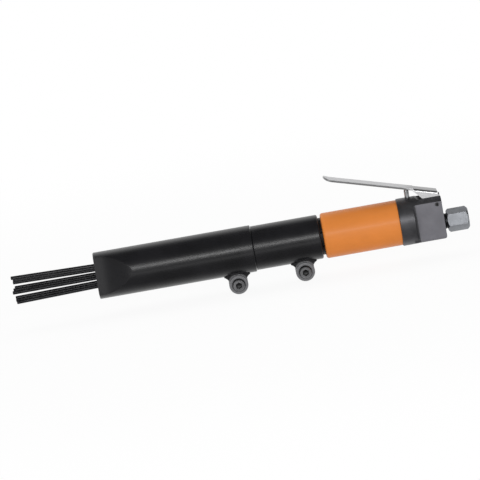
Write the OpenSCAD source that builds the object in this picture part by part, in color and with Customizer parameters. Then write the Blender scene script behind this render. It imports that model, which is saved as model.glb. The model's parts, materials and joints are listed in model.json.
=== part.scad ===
// Straight air needle scaler. X runs along the tool: the air inlet's mouth is at x = 0
// and the needles point to -X. +Z is the lever's side. The origin is the centre of the
// inlet's mouth, and the barrel's axis runs parallel to X, barrel_z above it.

/* [Front tube] */
// Outside diameter of the front tube
front_od = 39.2; // [36:0.1:46]
// Wall of the front tube round the needle holder
front_wall = 3; // [2.4:0.1:3.6]
// Length of the front tube
front_len = 133; // [120:1:150]
// Length of the two flats pressed into the nose
nose_flat_len = 3; // [1:1:20]
// Length over which the flats run out into the round tube
nose_blend_len = 31.5; // [15:0.5:40]
// Wall between each flat and the nose's opening
nose_wall = 1.8; // [1.2:0.1:3]
// Room between the needles and the nose's opening
nose_room = 0.5; // [0.3:0.1:2]
// Angle that the flats are turned about the tube, against the clamp's slit
nose_turn = 8; // [0:1:10]

/* [Clamps] */
// Depth of the clamp screw's axis below the tube's surface
lug_hang = 7.2; // [7:0.1:11]
// Diameter of the lug's round end
lug_d = 16; // [14.5:0.1:17]
// Width across both ears of a lug
lug_w = 18; // [16:0.5:22]
// Length of the lug's foot along the tube
lug_foot = 22; // [20:0.5:28]
// Height that each round boss stands out of the lug's web
boss_rise = 2; // [1:0.1:3]
// Front tube's rear end to its clamp screw
front_lug_inset = 17.2; // [16:0.2:22]
// Intermediate tube's rear end to its clamp screw
rear_lug_inset = 17.2; // [15:0.2:22]
// Width of the slit between the ears
slit_w = 2.4; // [1.6:0.1:3]
// Diameter of a clamp screw's shank
screw_d = 6; // [5:0.5:6]
// Diameter of a clamp screw's head
screw_head_d = 10; // [9:0.5:10.5]
// Height of a clamp screw's head
screw_head_h = 6; // [5:0.5:7]
// Width across the flats of the screw's socket
screw_socket_af = 5; // [4:0.5:6]
// Depth of the screw's socket
screw_socket_depth = 3; // [2:0.5:4]
// Depth that the head and its washer are sunk into the ear
head_sink = 4; // [2:0.5:4.5]
// Thickness of the lock washer under each head
lock_washer_t = 1.5; // [1:0.1:2]

/* [Needles] */
// Diameter of a needle
needle_d = 3; // [2:0.1:3.4]
// Length of a needle
needle_len = 180; // [160:1:200]
// Diameter of a needle's head
needle_head_d = 3.9; // [3.5:0.1:4.6]
// Length of a needle's head
needle_head_len = 3.5; // [2.5:0.1:5]
// Gap between the heads of a row
col_gap = 0.4; // [0.2:0.1:1]
// Gap between the heads of two rows
row_gap = 1.1; // [0.6:0.1:2]
// Distance between the rows at the tips
tip_row_pitch = 8.7; // [6:0.1:9]
// Distance that neighbours in a row lean apart, up and down, at the tips
tip_stagger = 1.3; // [0:0.1:2]
// Free travel of a needle in the holder
needle_slack = 4; // [3:0.1:5]
// Thickness of the needle holder's floor
holder_floor = 10; // [7:0.5:14]
// Depth of the holder's skirt, which stands on the intermediate tube
holder_skirt = 4.9; // [4:0.1:7]
// Wall of the holder's skirt
holder_wall = 2.6; // [1.6:0.1:3]
// Thickness of the return spring's front seat
spring_seat_t = 1.5; // [1:0.1:3]
// Wire of the return spring
return_wire_d = 2; // [1.6:0.1:2.6]
// Turns of the return spring
return_turns = 9; // [6:1:11]

/* [Intermediate tube] */
// Step from the front tube down to the intermediate tube
tube_step = 1.1; // [0.5:0.1:2]
// Length of the intermediate tube that shows
mid_len = 56; // [50:1:65]
// Wall of the intermediate tube round the cylinder's spigot
mid_wall = 2.9; // [2.4:0.1:3.4]
// Wall of the spigot inside the front tube, which the anvil slides in
spigot_wall = 3.2; // [2.6:0.1:3.8]
// Width of the seam between the front and intermediate tubes
tube_seam = 0.6; // [0.3:0.1:1.5]

/* [Anvil] */
// Length of the anvil's head
anvil_head_len = 17.5; // [15:0.1:20]
// Step from the cylinder's bore down to the anvil's tail
tail_step = 3; // [2:0.1:4]
// Length of the anvil's tail
anvil_tail_len = 26; // [22:0.5:30]
// Forward travel of the anvil
anvil_stroke = 6; // [4:0.5:8]
// Room between the anvil at the end of its travel and a needle pushed right back
strike_gap = 0.8; // [0.3:0.1:2]
// Thickness of the rubber buffer behind the anvil's head
buffer_t = 5.5; // [4:0.1:6.5]
// Wall of the cylinder's spigot round the anvil's bush
bush_seat_wall = 3.5; // [2.5:0.1:4.5]
// Length of the bush inside the cylinder
bush_len = 9; // [7:0.5:12]
// Thickness of the bush's flange
bush_flange_t = 5; // [3:0.1:6]

/* [Cylinder] */
// Step from the front tube's outside down to the cylinder's
cyl_step = 0.6; // [0:0.1:1]
// Length of the painted part of the cylinder
cyl_len = 64.6; // [58:0.1:75]
// Length of the cylinder's front spigot
cyl_spigot_len = 44; // [40:0.5:48]
// Groove left open between the intermediate tube and the cylinder
cyl_groove = 2.4; // [2:0.1:6]
// Wall of the cylinder's spigot round the piston
cyl_wall = 5.5; // [4.6:0.1:6.4]
// Length of the piston
piston_len = 36; // [25:1:40]
// Wall of the cylinder round the valve chest
chest_wall = 4; // [3.7:0.1:5.2]
// Depth of the counterbore for the valve chest
chest_depth = 26; // [22:0.5:30]
// Diameter of the exhaust ports in the groove
exhaust_d = 1.6; // [1.2:0.1:1.9]
// Number of exhaust ports
exhaust_count = 8; // [4:1:10]

/* [Valve chest] */
// Thickness of the valve seat
valve_seat_t = 8; // [6:0.5:9]
// Thickness of the valve cover
valve_cover_t = 6; // [4:0.5:7]
// Diameter of the valve disc
valve_disc_d = 15; // [12:0.5:17]
// Thickness of the valve disc
valve_disc_t = 1.2; // [0.8:0.1:1.5]
// Lift of the valve disc
valve_lift = 0.8; // [0.5:0.1:1.2]

/* [Throttle body] */
// Step from the cylinder up to the throttle body's round band
band_step = 0.9; // [0.2:0.1:1.4]
// Length of the round band
band_len = 12.5; // [11:0.5:20]
// Width of the rear block over its two flats
block_w = 26.5; // [22:0.1:28]
// Length of the rear block
block_len = 24.5; // [21.5:0.5:28]
// Step from the round band down to the rear block's underside
block_step = 2.2; // [1:0.1:3]
// Rounding of the rear block's lower edges
block_edge = 2.4; // [1:0.1:4]
// Rounding of the rear block's rear corners, seen from the side
block_rear_r = 2.6; // [1:0.1:3]
// Radius of the shoulder between the round band and the rear block
shoulder_r = 2.5; // [2:0.1:5]

/* [Lever] */
// Width of the lever
lever_w = 15; // [13:0.1:17]
// Thickness of the lever's sheet
lever_t = 1.6; // [1.2:0.1:2]
// Lever's pivot to the start of its curled tip
lever_len = 89; // [70:1:100]
// Angle at which the lever stands off the barrel
lever_rise = 16.2; // [14:0.1:20]
// Angle through which the lever is pressed
lever_press = 12; // [8:0.5:13]
// Height of the lever's upper face above its pivot
lever_height = 9.85; // [9:0.05:11]
// Depth of the pivot below the top of the throttle body
pivot_depth = 7.4; // [6:0.1:8]
// Throttle body's rear face to the pivot
pivot_inset = 4.1; // [3.6:0.1:6]
// Diameter of the pivot pin
pivot_pin_d = 3.6; // [3:0.1:4]
// Length of the lever's side ears along its blade
ear_len = 22.6; // [18:0.1:24]
// Radius of the ears round the pin
ear_r = 4.5; // [4:0.1:5]
// Radius of the lever's curled tip
curl_r = 18; // [12:1:30]
// Angle of the lever's curled tip
curl_angle = 24; // [15:1:40]

/* [Throttle valve] */
// Rear block's front to the plunger's axis
plunger_set = 2.7; // [1.7:0.1:3.1]
// Diameter of the plunger
plunger_d = 4.2; // [3:0.1:4.6]
// Bore of the valve's chamber
chamber_d = 11; // [10:0.1:12]
// Height of the valve's seat above the barrel's axis
seat_z = 3; // [2:0.1:3.5]
// Height of the valve's seat ring
seat_ring_h = 3; // [2:0.1:3.5]
// Thickness of the valve's head
poppet_t = 3; // [2:0.1:3.5]
// Height of the plug that closes the chamber
plug_h = 4.5; // [4:0.1:6]

/* [Air inlet] */
// Width across the flats of the inlet's hexagon
hex_af = 17; // [15.5:0.5:22]
// Length of the inlet's hexagon
hex_len = 18; // [16.5:0.5:24]
// Angle that the hexagon is turned about the inlet
hex_turn = 12; // [0:1:30]
// Length of the neck between the hexagon and the body
neck_len = 2.6; // [1.5:0.1:5]
// Diameter of the neck and of the thread into the body
neck_d = 13.6; // [12:0.1:15]
// Length of the thread inside the body
inlet_screw_len = 11.5; // [9:0.5:13]
// Bore of the inlet's hose thread
inlet_bore = 11.4; // [10:0.1:13]
// Depth of the inlet's hose thread
inlet_depth = 14; // [10:0.5:16]
// Height of the barrel's axis above the inlet's axis
barrel_z = 5.5; // [4.5:0.1:6.4]

/* [Hidden] */
$fn = 96;
// Cuts run past the faces that they open by this much
overrun = 1;
// Clearances, on the radius where the fit is round
clamp_fit = 0.1;
slide_fit = 0.15;
run_fit = 0.03;
press_fit = 0.02;
seat_gap = 0.3;
face_gap = 0.1;
// Edges broken on turned pieces
small_edge = 0.4;
tube_edge = 1;
groove_edge = 1.4;

// Diameters of the pieces that fit into each other, from the outside inwards
front_bore = front_od - 2 * front_wall;
holder_od = front_bore - 2 * slide_fit;
mid_od = front_od - 2 * tube_step;
mid_bore = mid_od - 2 * mid_wall;
mid_spigot_od = front_bore - 2 * clamp_fit;
anvil_bore = mid_spigot_od - 2 * spigot_wall;
cyl_od = front_od - 2 * cyl_step;
cyl_spigot_od = mid_bore - 2 * clamp_fit;
cyl_bore = cyl_spigot_od - 2 * cyl_wall;
chest_bore = cyl_od - 2 * chest_wall;
bush_od = cyl_spigot_od - 2 * bush_seat_wall;
anvil_tail_d = cyl_bore - 2 * tail_step;
body_od = cyl_od + 2 * band_step;

// Needles, and the share of its slack by which each sits back at rest, row by row from the top
needle_rest_shares = [
    [0.50, 0.55, 0.45, 0.05],
    [0.10, 0.30, 0.50, 0.55],
    [0.60, 0.62, 0.40, 0.37]
];
needle_rows = 3;
needle_cols = 4;
needle_point = 0.35;
needle_hole_d = needle_d + 2 * slide_fit;
col_pitch = needle_head_d + col_gap;
row_pitch = needle_head_d + row_gap;

// Stations along X, from the inlet to the nose
hex_x = -hex_len;
body_x = hex_x - neck_len;
block_x = body_x - block_len;
body_front_x = block_x - band_len;
plunger_x = block_x - plunger_set;
pivot_x = body_x - pivot_inset;
chest_front_x = body_front_x - chest_depth;
cover_front_x = chest_front_x + valve_seat_t;
cover_rear_x = cover_front_x + valve_cover_t;
piston_rear_x = chest_front_x - seat_gap;
cyl_front_x = body_front_x - cyl_len;
cyl_nose_x = cyl_front_x - cyl_spigot_len;
bore_front_x = cyl_nose_x + bush_len;
bush_front_x = cyl_nose_x - bush_flange_t;
mid_shoulder_x = bush_front_x - face_gap;
buffer_front_x = bush_front_x - buffer_t;
anvil_rear_x = buffer_front_x - seat_gap;
anvil_front_x = anvil_rear_x - anvil_head_len;
holder_face_x = anvil_front_x - anvil_stroke - strike_gap - needle_head_len - needle_slack - face_gap;
holder_front_x = holder_face_x - holder_floor;
spigot_front_x = holder_face_x + holder_skirt + seat_gap;
mid_rear_x = cyl_front_x - cyl_groove;
mid_front_x = mid_rear_x - mid_len;
groove_x = (cyl_front_x + mid_rear_x) / 2;
front_rear_x = mid_front_x - tube_seam;
mouth_x = front_rear_x - front_len;
nose_shoulder_x = mouth_x + nose_flat_len + nose_blend_len;
spring_seat_x = nose_shoulder_x + face_gap + spring_seat_t;
front_lug_x = front_rear_x - front_lug_inset;
rear_lug_x = mid_rear_x - rear_lug_inset;

// Front tube, whose nose leaves room for the outermost needles
mouth_row_z = row_pitch
    + (tip_row_pitch - row_pitch + tip_stagger / 2) * (holder_face_x - mouth_x) / needle_len;
needle_reach = (needle_cols - 1) / 2 * col_pitch * cos(nose_turn) + mouth_row_z * sin(nose_turn);
nose_in_w = 2 * (needle_reach + needle_d / 2 + nose_room);
nose_w = nose_in_w + 2 * nose_wall;
blend_steps = 14;
slit_relief_d = 2 * slit_w;

// Clamp screws
washer_d = screw_head_d;
head_room = 0.8;
head_bore_d = screw_head_d + 2 * head_room;
head_seat_y = -lug_w / 2 + head_sink;
washer_top_y = head_seat_y - lock_washer_t;
screw_end_y = lug_w / 2 + small_edge;

// Return spring, which stands inside the front tube's bore
return_coil_r = front_bore / 2 - slide_fit - seat_gap - return_wire_d / 2;

// Cylinder
bush_bore = anvil_tail_d + 2 * run_fit;
bush_flange_d = cyl_spigot_od - 2 * clamp_fit;
piston_d = cyl_bore - 2 * run_fit;
piston_groove_w = 1.5;
piston_groove_depth = 0.5;
piston_lands = 3;
air_way_d = 3;
air_way_r = (cyl_bore + chest_bore) / 4;
air_way_x = bore_front_x + 2 * air_way_d;
dowel_d = 2.4;
dowel_r = (chest_bore - 2 * dowel_d) / 2;
dowel_depth = 4;

// Valve chest
chest_od = chest_bore - 2 * slide_fit;
disc_room_d = valve_disc_d + 4 * slide_fit;
disc_room_t = valve_disc_t + valve_lift + 2 * face_gap;
feed_d = 5;
feed_count = 4;
feed_r = valve_disc_d / 3;
feed_hole_d = 2.4;

// Throttle body
body_spigot_len = chest_depth - valve_seat_t - valve_cover_t - face_gap;
body_spigot_od = chest_bore - 2 * clamp_fit;
seal_wire_d = 1.8;
seal_groove_d = body_spigot_od - 2 * seal_wire_d;
seal_groove_w = seal_wire_d + 2 * face_gap;
seal_inset = 3;
block_drop = body_od / 2 - block_step;
shoulder_steps = 10;
slot_w = lever_w + 4 * slide_fit;
ear_room = 1;
ear_t = lever_t;
air_bore_d = 9;
outlet_d = 5;
upper_d = 8;
upper_h = 4;
outlet_z = seat_z + seat_ring_h + upper_h / 2;

// Lever, about its pivot and along its blade
pivot_z = body_od / 2 - pivot_depth;
lever_under = lever_height - lever_t;
curl_steps = 12;
pin_wall = 0.8;
pin_slit_w = 0.6;

// Throttle valve
under_slope = sin(lever_rise);
plunger_top_z = pivot_z
    + (lever_under + (pivot_x - plunger_x) * under_slope) / cos(lever_rise) - seat_gap;
plunger_hole_d = plunger_d + 2 * run_fit;
gland_wire_d = 1.7;
gland_d = plunger_d + 2 * gland_wire_d + 2 * face_gap;
gland_z = seat_z + seat_ring_h + upper_h;
gland_h = gland_wire_d + 2 * face_gap;
seat_way = 1.5;
seat_hole_d = plunger_d + 2 * seat_way;
poppet_d = (chamber_d + seat_hole_d) / 2;
poppet_top_z = seat_z - face_gap;
poppet_stem_d = plunger_d - 2 * slide_fit;
poppet_stem_len = 4;
plug_step = 0.75;
plug_d = chamber_d + 2 * plug_step;
plug_low_z = -block_drop + small_edge;
plug_top_z = plug_low_z + plug_h;
plug_socket_af = 5;
plug_socket_depth = 3;
throttle_wire_d = 0.9;
throttle_turns = 5;
throttle_coil_r = (poppet_stem_d + throttle_wire_d) / 2 + seat_gap;

// Air inlet, about the inlet's own axis
inlet_way_d = 8.4;
screen_d = 10.4;
screen_t = 1;
screen_hole_d = 1.8;
screen_ring_r = 3;
screen_ring_count = 6;
inlet_seal_wire_d = 1.8;
inlet_seal_room_d = neck_d + 2 * inlet_seal_wire_d + 2 * face_gap;
inlet_seal_room_t = inlet_seal_wire_d + face_gap;
hex_edge = 1.4;
hex_mouth_edge = 2;

// Shapes that repeat

// A turned solid about the X axis, from points [x, radius]
module lathe(profile) {
    rotate([0, 90, 0])
        rotate_extrude()
            polygon([for (p = profile) [p[1], p[0]]]);
}

// A turned bar from x0 to x1 with its edges broken by e0 and e1
function bar(x0, x1, d, e0 = 0, e1 = 0) = [
    [x0, 0], [x0, d / 2 - e0], [x0 + e0, d / 2],
    [x1 - e1, d / 2], [x1, d / 2 - e1], [x1, 0]
];

// A round rod or hole along X
module rod_x(x0, x1, d) {
    translate([x0, 0, 0])
        rotate([0, 90, 0])
            cylinder(d = d, h = x1 - x0);
}

// A round rod or hole along Y
module rod_y(x, z, y0, y1, d) {
    translate([x, y0, z])
        rotate([-90, 0, 0])
            cylinder(d = d, h = y1 - y0);
}

// A round rod or hole along Z
module rod_z(x, z0, z1, d) {
    translate([x, 0, z0])
        cylinder(d = d, h = z1 - z0);
}

// A flat outline in X and Z, given a width along Y about the middle
module plate_xz(width) {
    translate([0, width / 2, 0])
        rotate([90, 0, 0])
            linear_extrude(width)
                children();
}

// A ring of round wire about the X axis
module ring_x(x, r, wire_d) {
    translate([x, 0, 0])
        rotate([0, 90, 0])
            rotate_extrude()
                translate([r, 0])
                    circle(d = wire_d);
}

// Point where the line from p runs into a circle about c, on the side given by turn.
// It lies a little inside the circle, so that outline and circle cross.
touch_share = 0.97;
function touch(p, c, r, turn) =
    let (d = p - c,
         inner = r * touch_share,
         a = atan2(d.y, d.x) + turn * acos(inner / norm(d)))
    c + inner * [cos(a), sin(a)];

// A coil of round wire about the Z axis from z = 0 to h
coil_sides = 6;
coil_rings = 10;
function coil_ring(a, r, rise, wire_d) =
    let (centre = [r * cos(a), r * sin(a), wire_d / 2 + rise * a / 360],
         out = [cos(a), sin(a), 0],
         along = [-r * sin(a), r * cos(a), rise / (2 * PI)],
         up = cross(along / norm(along), out))
    [for (k = [0:coil_sides - 1])
        centre + wire_d / 2 * (cos(360 * k / coil_sides) * out - sin(360 * k / coil_sides) * up)];
module coil(r, h, turns, wire_d) {
    rise = (h - wire_d) / turns;
    n = turns * coil_rings;
    rings = [for (i = [0:n]) coil_ring(360 * i / coil_rings, r, rise, wire_d)];
    sides = [for (i = [0:n - 1]) for (k = [0:coil_sides - 1])
        let (a = i * coil_sides, b = a + coil_sides, m = (k + 1) % coil_sides)
        each [[a + k, a + m, b + m], [a + k, b + m, b + k]]];
    ends = [for (k = [1:coil_sides - 2])
        each [[0, k + 1, k], [n * coil_sides, n * coil_sides + k, n * coil_sides + k + 1]]];
    polyhedron([for (ring = rings) each ring], concat(sides, ends));
}

// A clamp lug under a tube, closed by a screw along Y
function lug_z(tube_od) = -tube_od / 2 - lug_hang;
module lug_web(tube_od) {
    foot = [lug_foot / 2, -tube_od / 2];
    centre = [0, lug_z(tube_od)];
    low = touch(foot, centre, lug_d / 2, -1);
    polygon([
        [-foot.x, 0], foot - [0, foot.y], foot, low, [-low.x, low.y], [-foot.x, foot.y]
    ]);
}
module lug(x, tube_od) {
    translate([x, 0, 0])
        plate_xz(lug_w - 2 * boss_rise)
            lug_web(tube_od);
    rod_y(x, lug_z(tube_od), -lug_w / 2, lug_w / 2, lug_d);
}
module lug_cuts(x, end_x, tube_od) {
    z = lug_z(tube_od);
    slit_x = x - lug_foot / 2;
    translate([slit_x, -slit_w / 2, z - lug_d])
        cube([end_x + overrun - slit_x, slit_w, lug_d - z]);
    rod_z(slit_x, z - lug_d, 0, slit_relief_d);
    rod_y(x, z, -lug_w, head_seat_y, head_bore_d);
    rod_y(x, z, -lug_w, lug_w, screw_d + 2 * press_fit);
}

// Pieces

// The nose seen from above: flats that run out into the round tube in an S
function ease(t) = t * t * (3 - 2 * t);
module nose_plan(half_w, round_r) {
    flat_x = mouth_x + nose_flat_len;
    run_out = [for (i = [0:blend_steps])
        let (t = i / blend_steps)
        [flat_x + nose_blend_len * t, half_w + (round_r - half_w) * ease(t)]];
    side = concat([[mouth_x - overrun, half_w]], run_out, [[front_rear_x + overrun, round_r]]);
    polygon(concat(side, [for (i = [len(side) - 1:-1:0]) [side[i].x, -side[i].y]]));
}

module front_tube() {
    color("#1c1c1e")
    difference() {
        union() {
            intersection() {
                lathe(bar(mouth_x, front_rear_x, front_od, tube_edge, tube_edge));
                rotate([-nose_turn, 0, 0])
                    translate([0, 0, -front_od])
                        linear_extrude(2 * front_od)
                            nose_plan(nose_w / 2, front_od / 2 + small_edge);
            }
            lug(front_lug_x, front_od);
        }
        rod_x(nose_shoulder_x, front_rear_x + overrun, front_bore);
        intersection() {
            rod_x(mouth_x - overrun, nose_shoulder_x + overrun, front_bore);
            rotate([-nose_turn, 0, 0])
                translate([mouth_x - 2 * overrun, -nose_in_w / 2, -front_od])
                    cube([front_len, nose_in_w, 2 * front_od]);
        }
        lug_cuts(front_lug_x, front_rear_x, front_od);
    }
}

module intermediate_tube() {
    color("#202022")
    difference() {
        union() {
            lathe(bar(mid_front_x, mid_rear_x, mid_od, small_edge, groove_edge));
            lathe(bar(spigot_front_x, mid_front_x + overrun, mid_spigot_od, small_edge));
            lug(rear_lug_x, mid_od);
        }
        rod_x(spigot_front_x - overrun, mid_rear_x, anvil_bore);
        rod_x(mid_shoulder_x, mid_rear_x + overrun, mid_bore);
        lug_cuts(rear_lug_x, mid_rear_x, mid_od);
    }
}

module clamp_screw() {
    head_y = washer_top_y - screw_head_h;
    rotate([0, 0, 90])
        difference() {
            union() {
                lathe(bar(head_y, washer_top_y, screw_head_d, small_edge, 0));
                lathe(bar(washer_top_y - overrun, screw_end_y, screw_d, 0, small_edge));
            }
            rotate([0, 90, 0])
                translate([0, 0, head_y - overrun])
                    cylinder(d = screw_socket_af / cos(30), h = screw_socket_depth + overrun, $fn = 6);
        }
}

module clamp_screws() {
    color("#2b2b2d") {
        translate([front_lug_x, 0, lug_z(front_od)]) clamp_screw();
        translate([rear_lug_x, 0, lug_z(mid_od)]) clamp_screw();
    }
}

module clamp_washer() {
    difference() {
        rod_y(0, 0, washer_top_y, head_seat_y, washer_d);
        rod_y(0, 0, washer_top_y - overrun, head_seat_y + overrun, screw_d + 2 * slide_fit);
    }
}

module clamp_washers() {
    color("#3a3a3c") {
        translate([front_lug_x, 0, lug_z(front_od)]) clamp_washer();
        translate([rear_lug_x, 0, lug_z(mid_od)]) clamp_washer();
    }
}

// Where a needle's axis meets the holder's face, and how far it leans from the barrel's axis
function needle_y(col) = (col - (needle_cols - 1) / 2) * col_pitch;
function needle_row(row) = (needle_rows - 1) / 2 - row;
function needle_splay(col) = (col % 2 - 1 / 2) * tip_stagger;
function needle_lean(row, col) =
    asin((needle_row(row) * (tip_row_pitch - row_pitch) + needle_splay(col)) / needle_len);
module along_needle(row, col) {
    translate([holder_face_x, needle_y(col), needle_row(row) * row_pitch])
        rotate([0, needle_lean(row, col), 0])
            children();
}

module needle(row, col) {
    back = face_gap + needle_slack * needle_rest_shares[row][col];
    tip_x = needle_head_len - needle_len;
    color("#29292b")
    along_needle(row, col)
        translate([back, 0, 0]) {
            lathe(bar(tip_x, overrun, needle_d, needle_point, 0));
            lathe(bar(0, needle_head_len, needle_head_d, small_edge, small_edge));
        }
}

module needle_holder() {
    color("#6e7074")
    difference() {
        lathe(bar(holder_front_x, holder_face_x + holder_skirt, holder_od, small_edge, small_edge));
        rod_x(holder_face_x, holder_face_x + holder_skirt + overrun, holder_od - 2 * holder_wall);
        for (row = [0:needle_rows - 1])
            for (col = [0:needle_cols - 1])
                along_needle(row, col)
                    rod_x(-holder_floor - overrun, overrun, needle_hole_d);
    }
}

module spring_seat() {
    color("#77787a")
    difference() {
        rod_x(nose_shoulder_x + face_gap, spring_seat_x, holder_od);
        rod_x(nose_shoulder_x, spring_seat_x + overrun, 2 * return_coil_r - return_wire_d);
    }
}

module return_spring() {
    room = holder_front_x - spring_seat_x - 2 * face_gap;
    color("#8b8d90")
    translate([spring_seat_x + face_gap, 0, 0])
        rotate([0, 90, 0])
            coil(return_coil_r, room, return_turns, return_wire_d);
}

module anvil() {
    color("#85878a") {
        lathe(bar(anvil_front_x, anvil_rear_x, anvil_bore - 2 * slide_fit, small_edge, small_edge));
        lathe(bar(anvil_rear_x - overrun, anvil_rear_x + anvil_tail_len, anvil_tail_d, 0, small_edge));
    }
}

module anvil_bush() {
    color("#9a8450")
    difference() {
        union() {
            lathe(bar(bush_front_x, cyl_nose_x, bush_flange_d, small_edge, 0));
            lathe(bar(cyl_nose_x - overrun, bore_front_x, bush_od - 2 * press_fit, 0, small_edge));
        }
        rod_x(bush_front_x - overrun, bore_front_x + overrun, bush_bore);
    }
}

module anvil_buffer() {
    color("#17171a")
    difference() {
        lathe(bar(buffer_front_x, bush_front_x, anvil_bore - 4 * slide_fit, small_edge, small_edge));
        rod_x(buffer_front_x - overrun, bush_front_x + overrun, anvil_tail_d + 4 * slide_fit);
    }
}

module cylinder_barrel() {
    color("#e08a3c")
    difference() {
        union() {
            lathe(bar(cyl_front_x, body_front_x, cyl_od, tube_edge, small_edge));
            lathe(bar(cyl_nose_x, cyl_front_x + overrun, cyl_spigot_od, small_edge, 0));
        }
        rod_x(cyl_nose_x - overrun, bore_front_x, bush_od);
        rod_x(cyl_nose_x, body_front_x, cyl_bore);
        rod_x(chest_front_x, body_front_x + overrun, chest_bore);
        translate([0, 0, -air_way_r])
            rod_x(air_way_x, chest_front_x + overrun, air_way_d);
        rod_z(air_way_x, -cyl_spigot_od, 0, air_way_d);
        translate([0, 0, dowel_r])
            rod_x(chest_front_x - dowel_depth, chest_front_x + overrun, dowel_d);
        for (i = [0:exhaust_count - 1])
            rotate([360 * (i + 0.5) / exhaust_count, 0, 0])
                rod_z(groove_x, 0, cyl_spigot_od, exhaust_d);
    }
}

module piston() {
    front_x = piston_rear_x - piston_len;
    color("#7d7f83")
    difference() {
        lathe(bar(front_x, piston_rear_x, piston_d, small_edge, small_edge));
        for (i = [1:piston_lands]) {
            x = front_x + piston_len * i / (piston_lands + 1);
            lathe([
                [x, piston_d / 2 - piston_groove_depth], [x, piston_d],
                [x + piston_groove_w, piston_d], [x + piston_groove_w, piston_d / 2 - piston_groove_depth]
            ]);
        }
    }
}

// The air ways of the valve chest, beside the disc and through to the front of the cylinder
module chest_ways(x0, x1) {
    for (i = [0:feed_count - 1])
        rotate([360 * (i + 0.5) / feed_count, 0, 0])
            translate([0, 0, feed_r])
                rod_x(x0, x1, feed_hole_d);
    translate([0, 0, -air_way_r])
        rod_x(x0, x1, air_way_d);
    translate([0, 0, dowel_r])
        rod_x(x0, x1, dowel_d);
}

module valve_seat() {
    color("#94969a")
    difference() {
        lathe(bar(chest_front_x, cover_front_x, chest_od, small_edge, small_edge));
        rod_x(chest_front_x - overrun, cover_front_x, feed_d);
        rod_x(cover_front_x - disc_room_t, cover_front_x + overrun, disc_room_d);
        chest_ways(chest_front_x - overrun, cover_front_x + overrun);
    }
}

module valve_disc() {
    x = cover_front_x - disc_room_t + face_gap;
    color("#b0b2b5")
    rod_x(x, x + valve_disc_t, valve_disc_d);
}

module valve_cover() {
    color("#8e9094")
    difference() {
        lathe(bar(cover_front_x, cover_rear_x, chest_od, small_edge, small_edge));
        chest_ways(cover_front_x - overrun, cover_rear_x + overrun);
    }
}

module valve_dowel() {
    color("#b4b6b8")
    translate([0, 0, dowel_r])
        lathe(bar(chest_front_x - dowel_depth + face_gap, cover_rear_x - face_gap,
                  dowel_d - 2 * press_fit, small_edge, small_edge));
}

module cylinder_seal() {
    color("#17171a")
    ring_x(body_front_x - seal_inset, (seal_groove_d + seal_wire_d) / 2 + press_fit, seal_wire_d);
}

// Room that the ears sweep, open to the top and the rear
module ear_room_outline() {
    room_r = ear_r + ear_room;
    far = body_od;
    front = [-ear_len - ear_room, lever_height];
    low = touch(front, [0, 0], room_r, 1);
    circle(r = room_r);
    polygon([low, [0, -room_r], [far, -room_r], [far, far], [front.x, far], front]);
}

// Concave shoulder from the round band down to a face at distance low from the axis
function shoulder(low, high) = [for (i = [0:shoulder_steps])
    let (a = 90 * i / shoulder_steps,
         y = low + shoulder_r * (1 - cos(a)))
    [block_x + shoulder_r * (1 - sin(a)), min(y, high)]];

// The band and its shoulders seen from above, and from the side
module band_plan() {
    side = shoulder(block_w / 2, body_od);
    edge = concat([[body_x, block_w / 2]], side, [[block_x, body_od], [body_front_x - overrun, body_od]]);
    polygon(concat(edge, [for (i = [len(edge) - 1:-1:0]) [edge[i].x, -edge[i].y]]));
}
module band_side() {
    under = shoulder(block_drop, body_od);
    edge = concat([[body_x, block_drop]], under, [[block_x, body_od], [body_front_x - overrun, body_od]]);
    polygon(concat([for (p = edge) [p.x, -p.y]], [[body_front_x - overrun, body_od], [body_x, body_od]]));
}

// The rear block seen from the rear, and from the side
module block_section() {
    low = block_drop - block_edge;
    half = block_w / 2;
    intersection() {
        circle(d = body_od);
        translate([-half, 0])
            square([block_w, body_od]);
    }
    translate([-half, -low])
        square([block_w, low + overrun]);
    translate([-half + block_edge, -block_drop])
        square([block_w - 2 * block_edge, block_drop]);
    for (side = [-1, 1])
        translate([side * (half - block_edge), -low])
            circle(r = block_edge);
}
module block_side() {
    top = body_od / 2;
    reach = block_x - block_rear_r;
    translate([reach, -block_drop])
        square([block_len, block_drop + top]);
    translate([reach, -block_drop + block_rear_r])
        square([body_x - reach, block_drop + top - 2 * block_rear_r]);
    for (z = [-block_drop + block_rear_r, top - block_rear_r])
        translate([body_x - block_rear_r, z])
            circle(r = block_rear_r);
}

module throttle_body() {
    color("#2a2a2d")
    difference() {
        union() {
            intersection() {
                lathe(bar(body_front_x, block_x + shoulder_r, body_od, small_edge, 0));
                translate([0, 0, -body_od])
                    linear_extrude(2 * body_od)
                        band_plan();
                plate_xz(2 * body_od)
                    band_side();
            }
            intersection() {
                translate([block_x - block_rear_r, 0, 0])
                    rotate([90, 0, 90])
                        linear_extrude(block_len + block_rear_r)
                            block_section();
                plate_xz(2 * body_od)
                    block_side();
            }
            lathe(bar(body_front_x - body_spigot_len, body_front_x + overrun, body_spigot_od, small_edge, 0));
        }
        translate([pivot_x, 0, pivot_z])
            rotate([0, lever_rise - lever_press, 0])
                plate_xz(slot_w)
                    ear_room_outline();
        rod_y(pivot_x, pivot_z, -body_od, body_od, pivot_pin_d);
        throttle_bores();
        inlet_bores();
        lathe([
            [body_front_x - seal_inset - seal_groove_w / 2, seal_groove_d / 2],
            [body_front_x - seal_inset - seal_groove_w / 2, body_od / 2],
            [body_front_x - seal_inset + seal_groove_w / 2, body_od / 2],
            [body_front_x - seal_inset + seal_groove_w / 2, seal_groove_d / 2]
        ]);
    }
}

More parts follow.
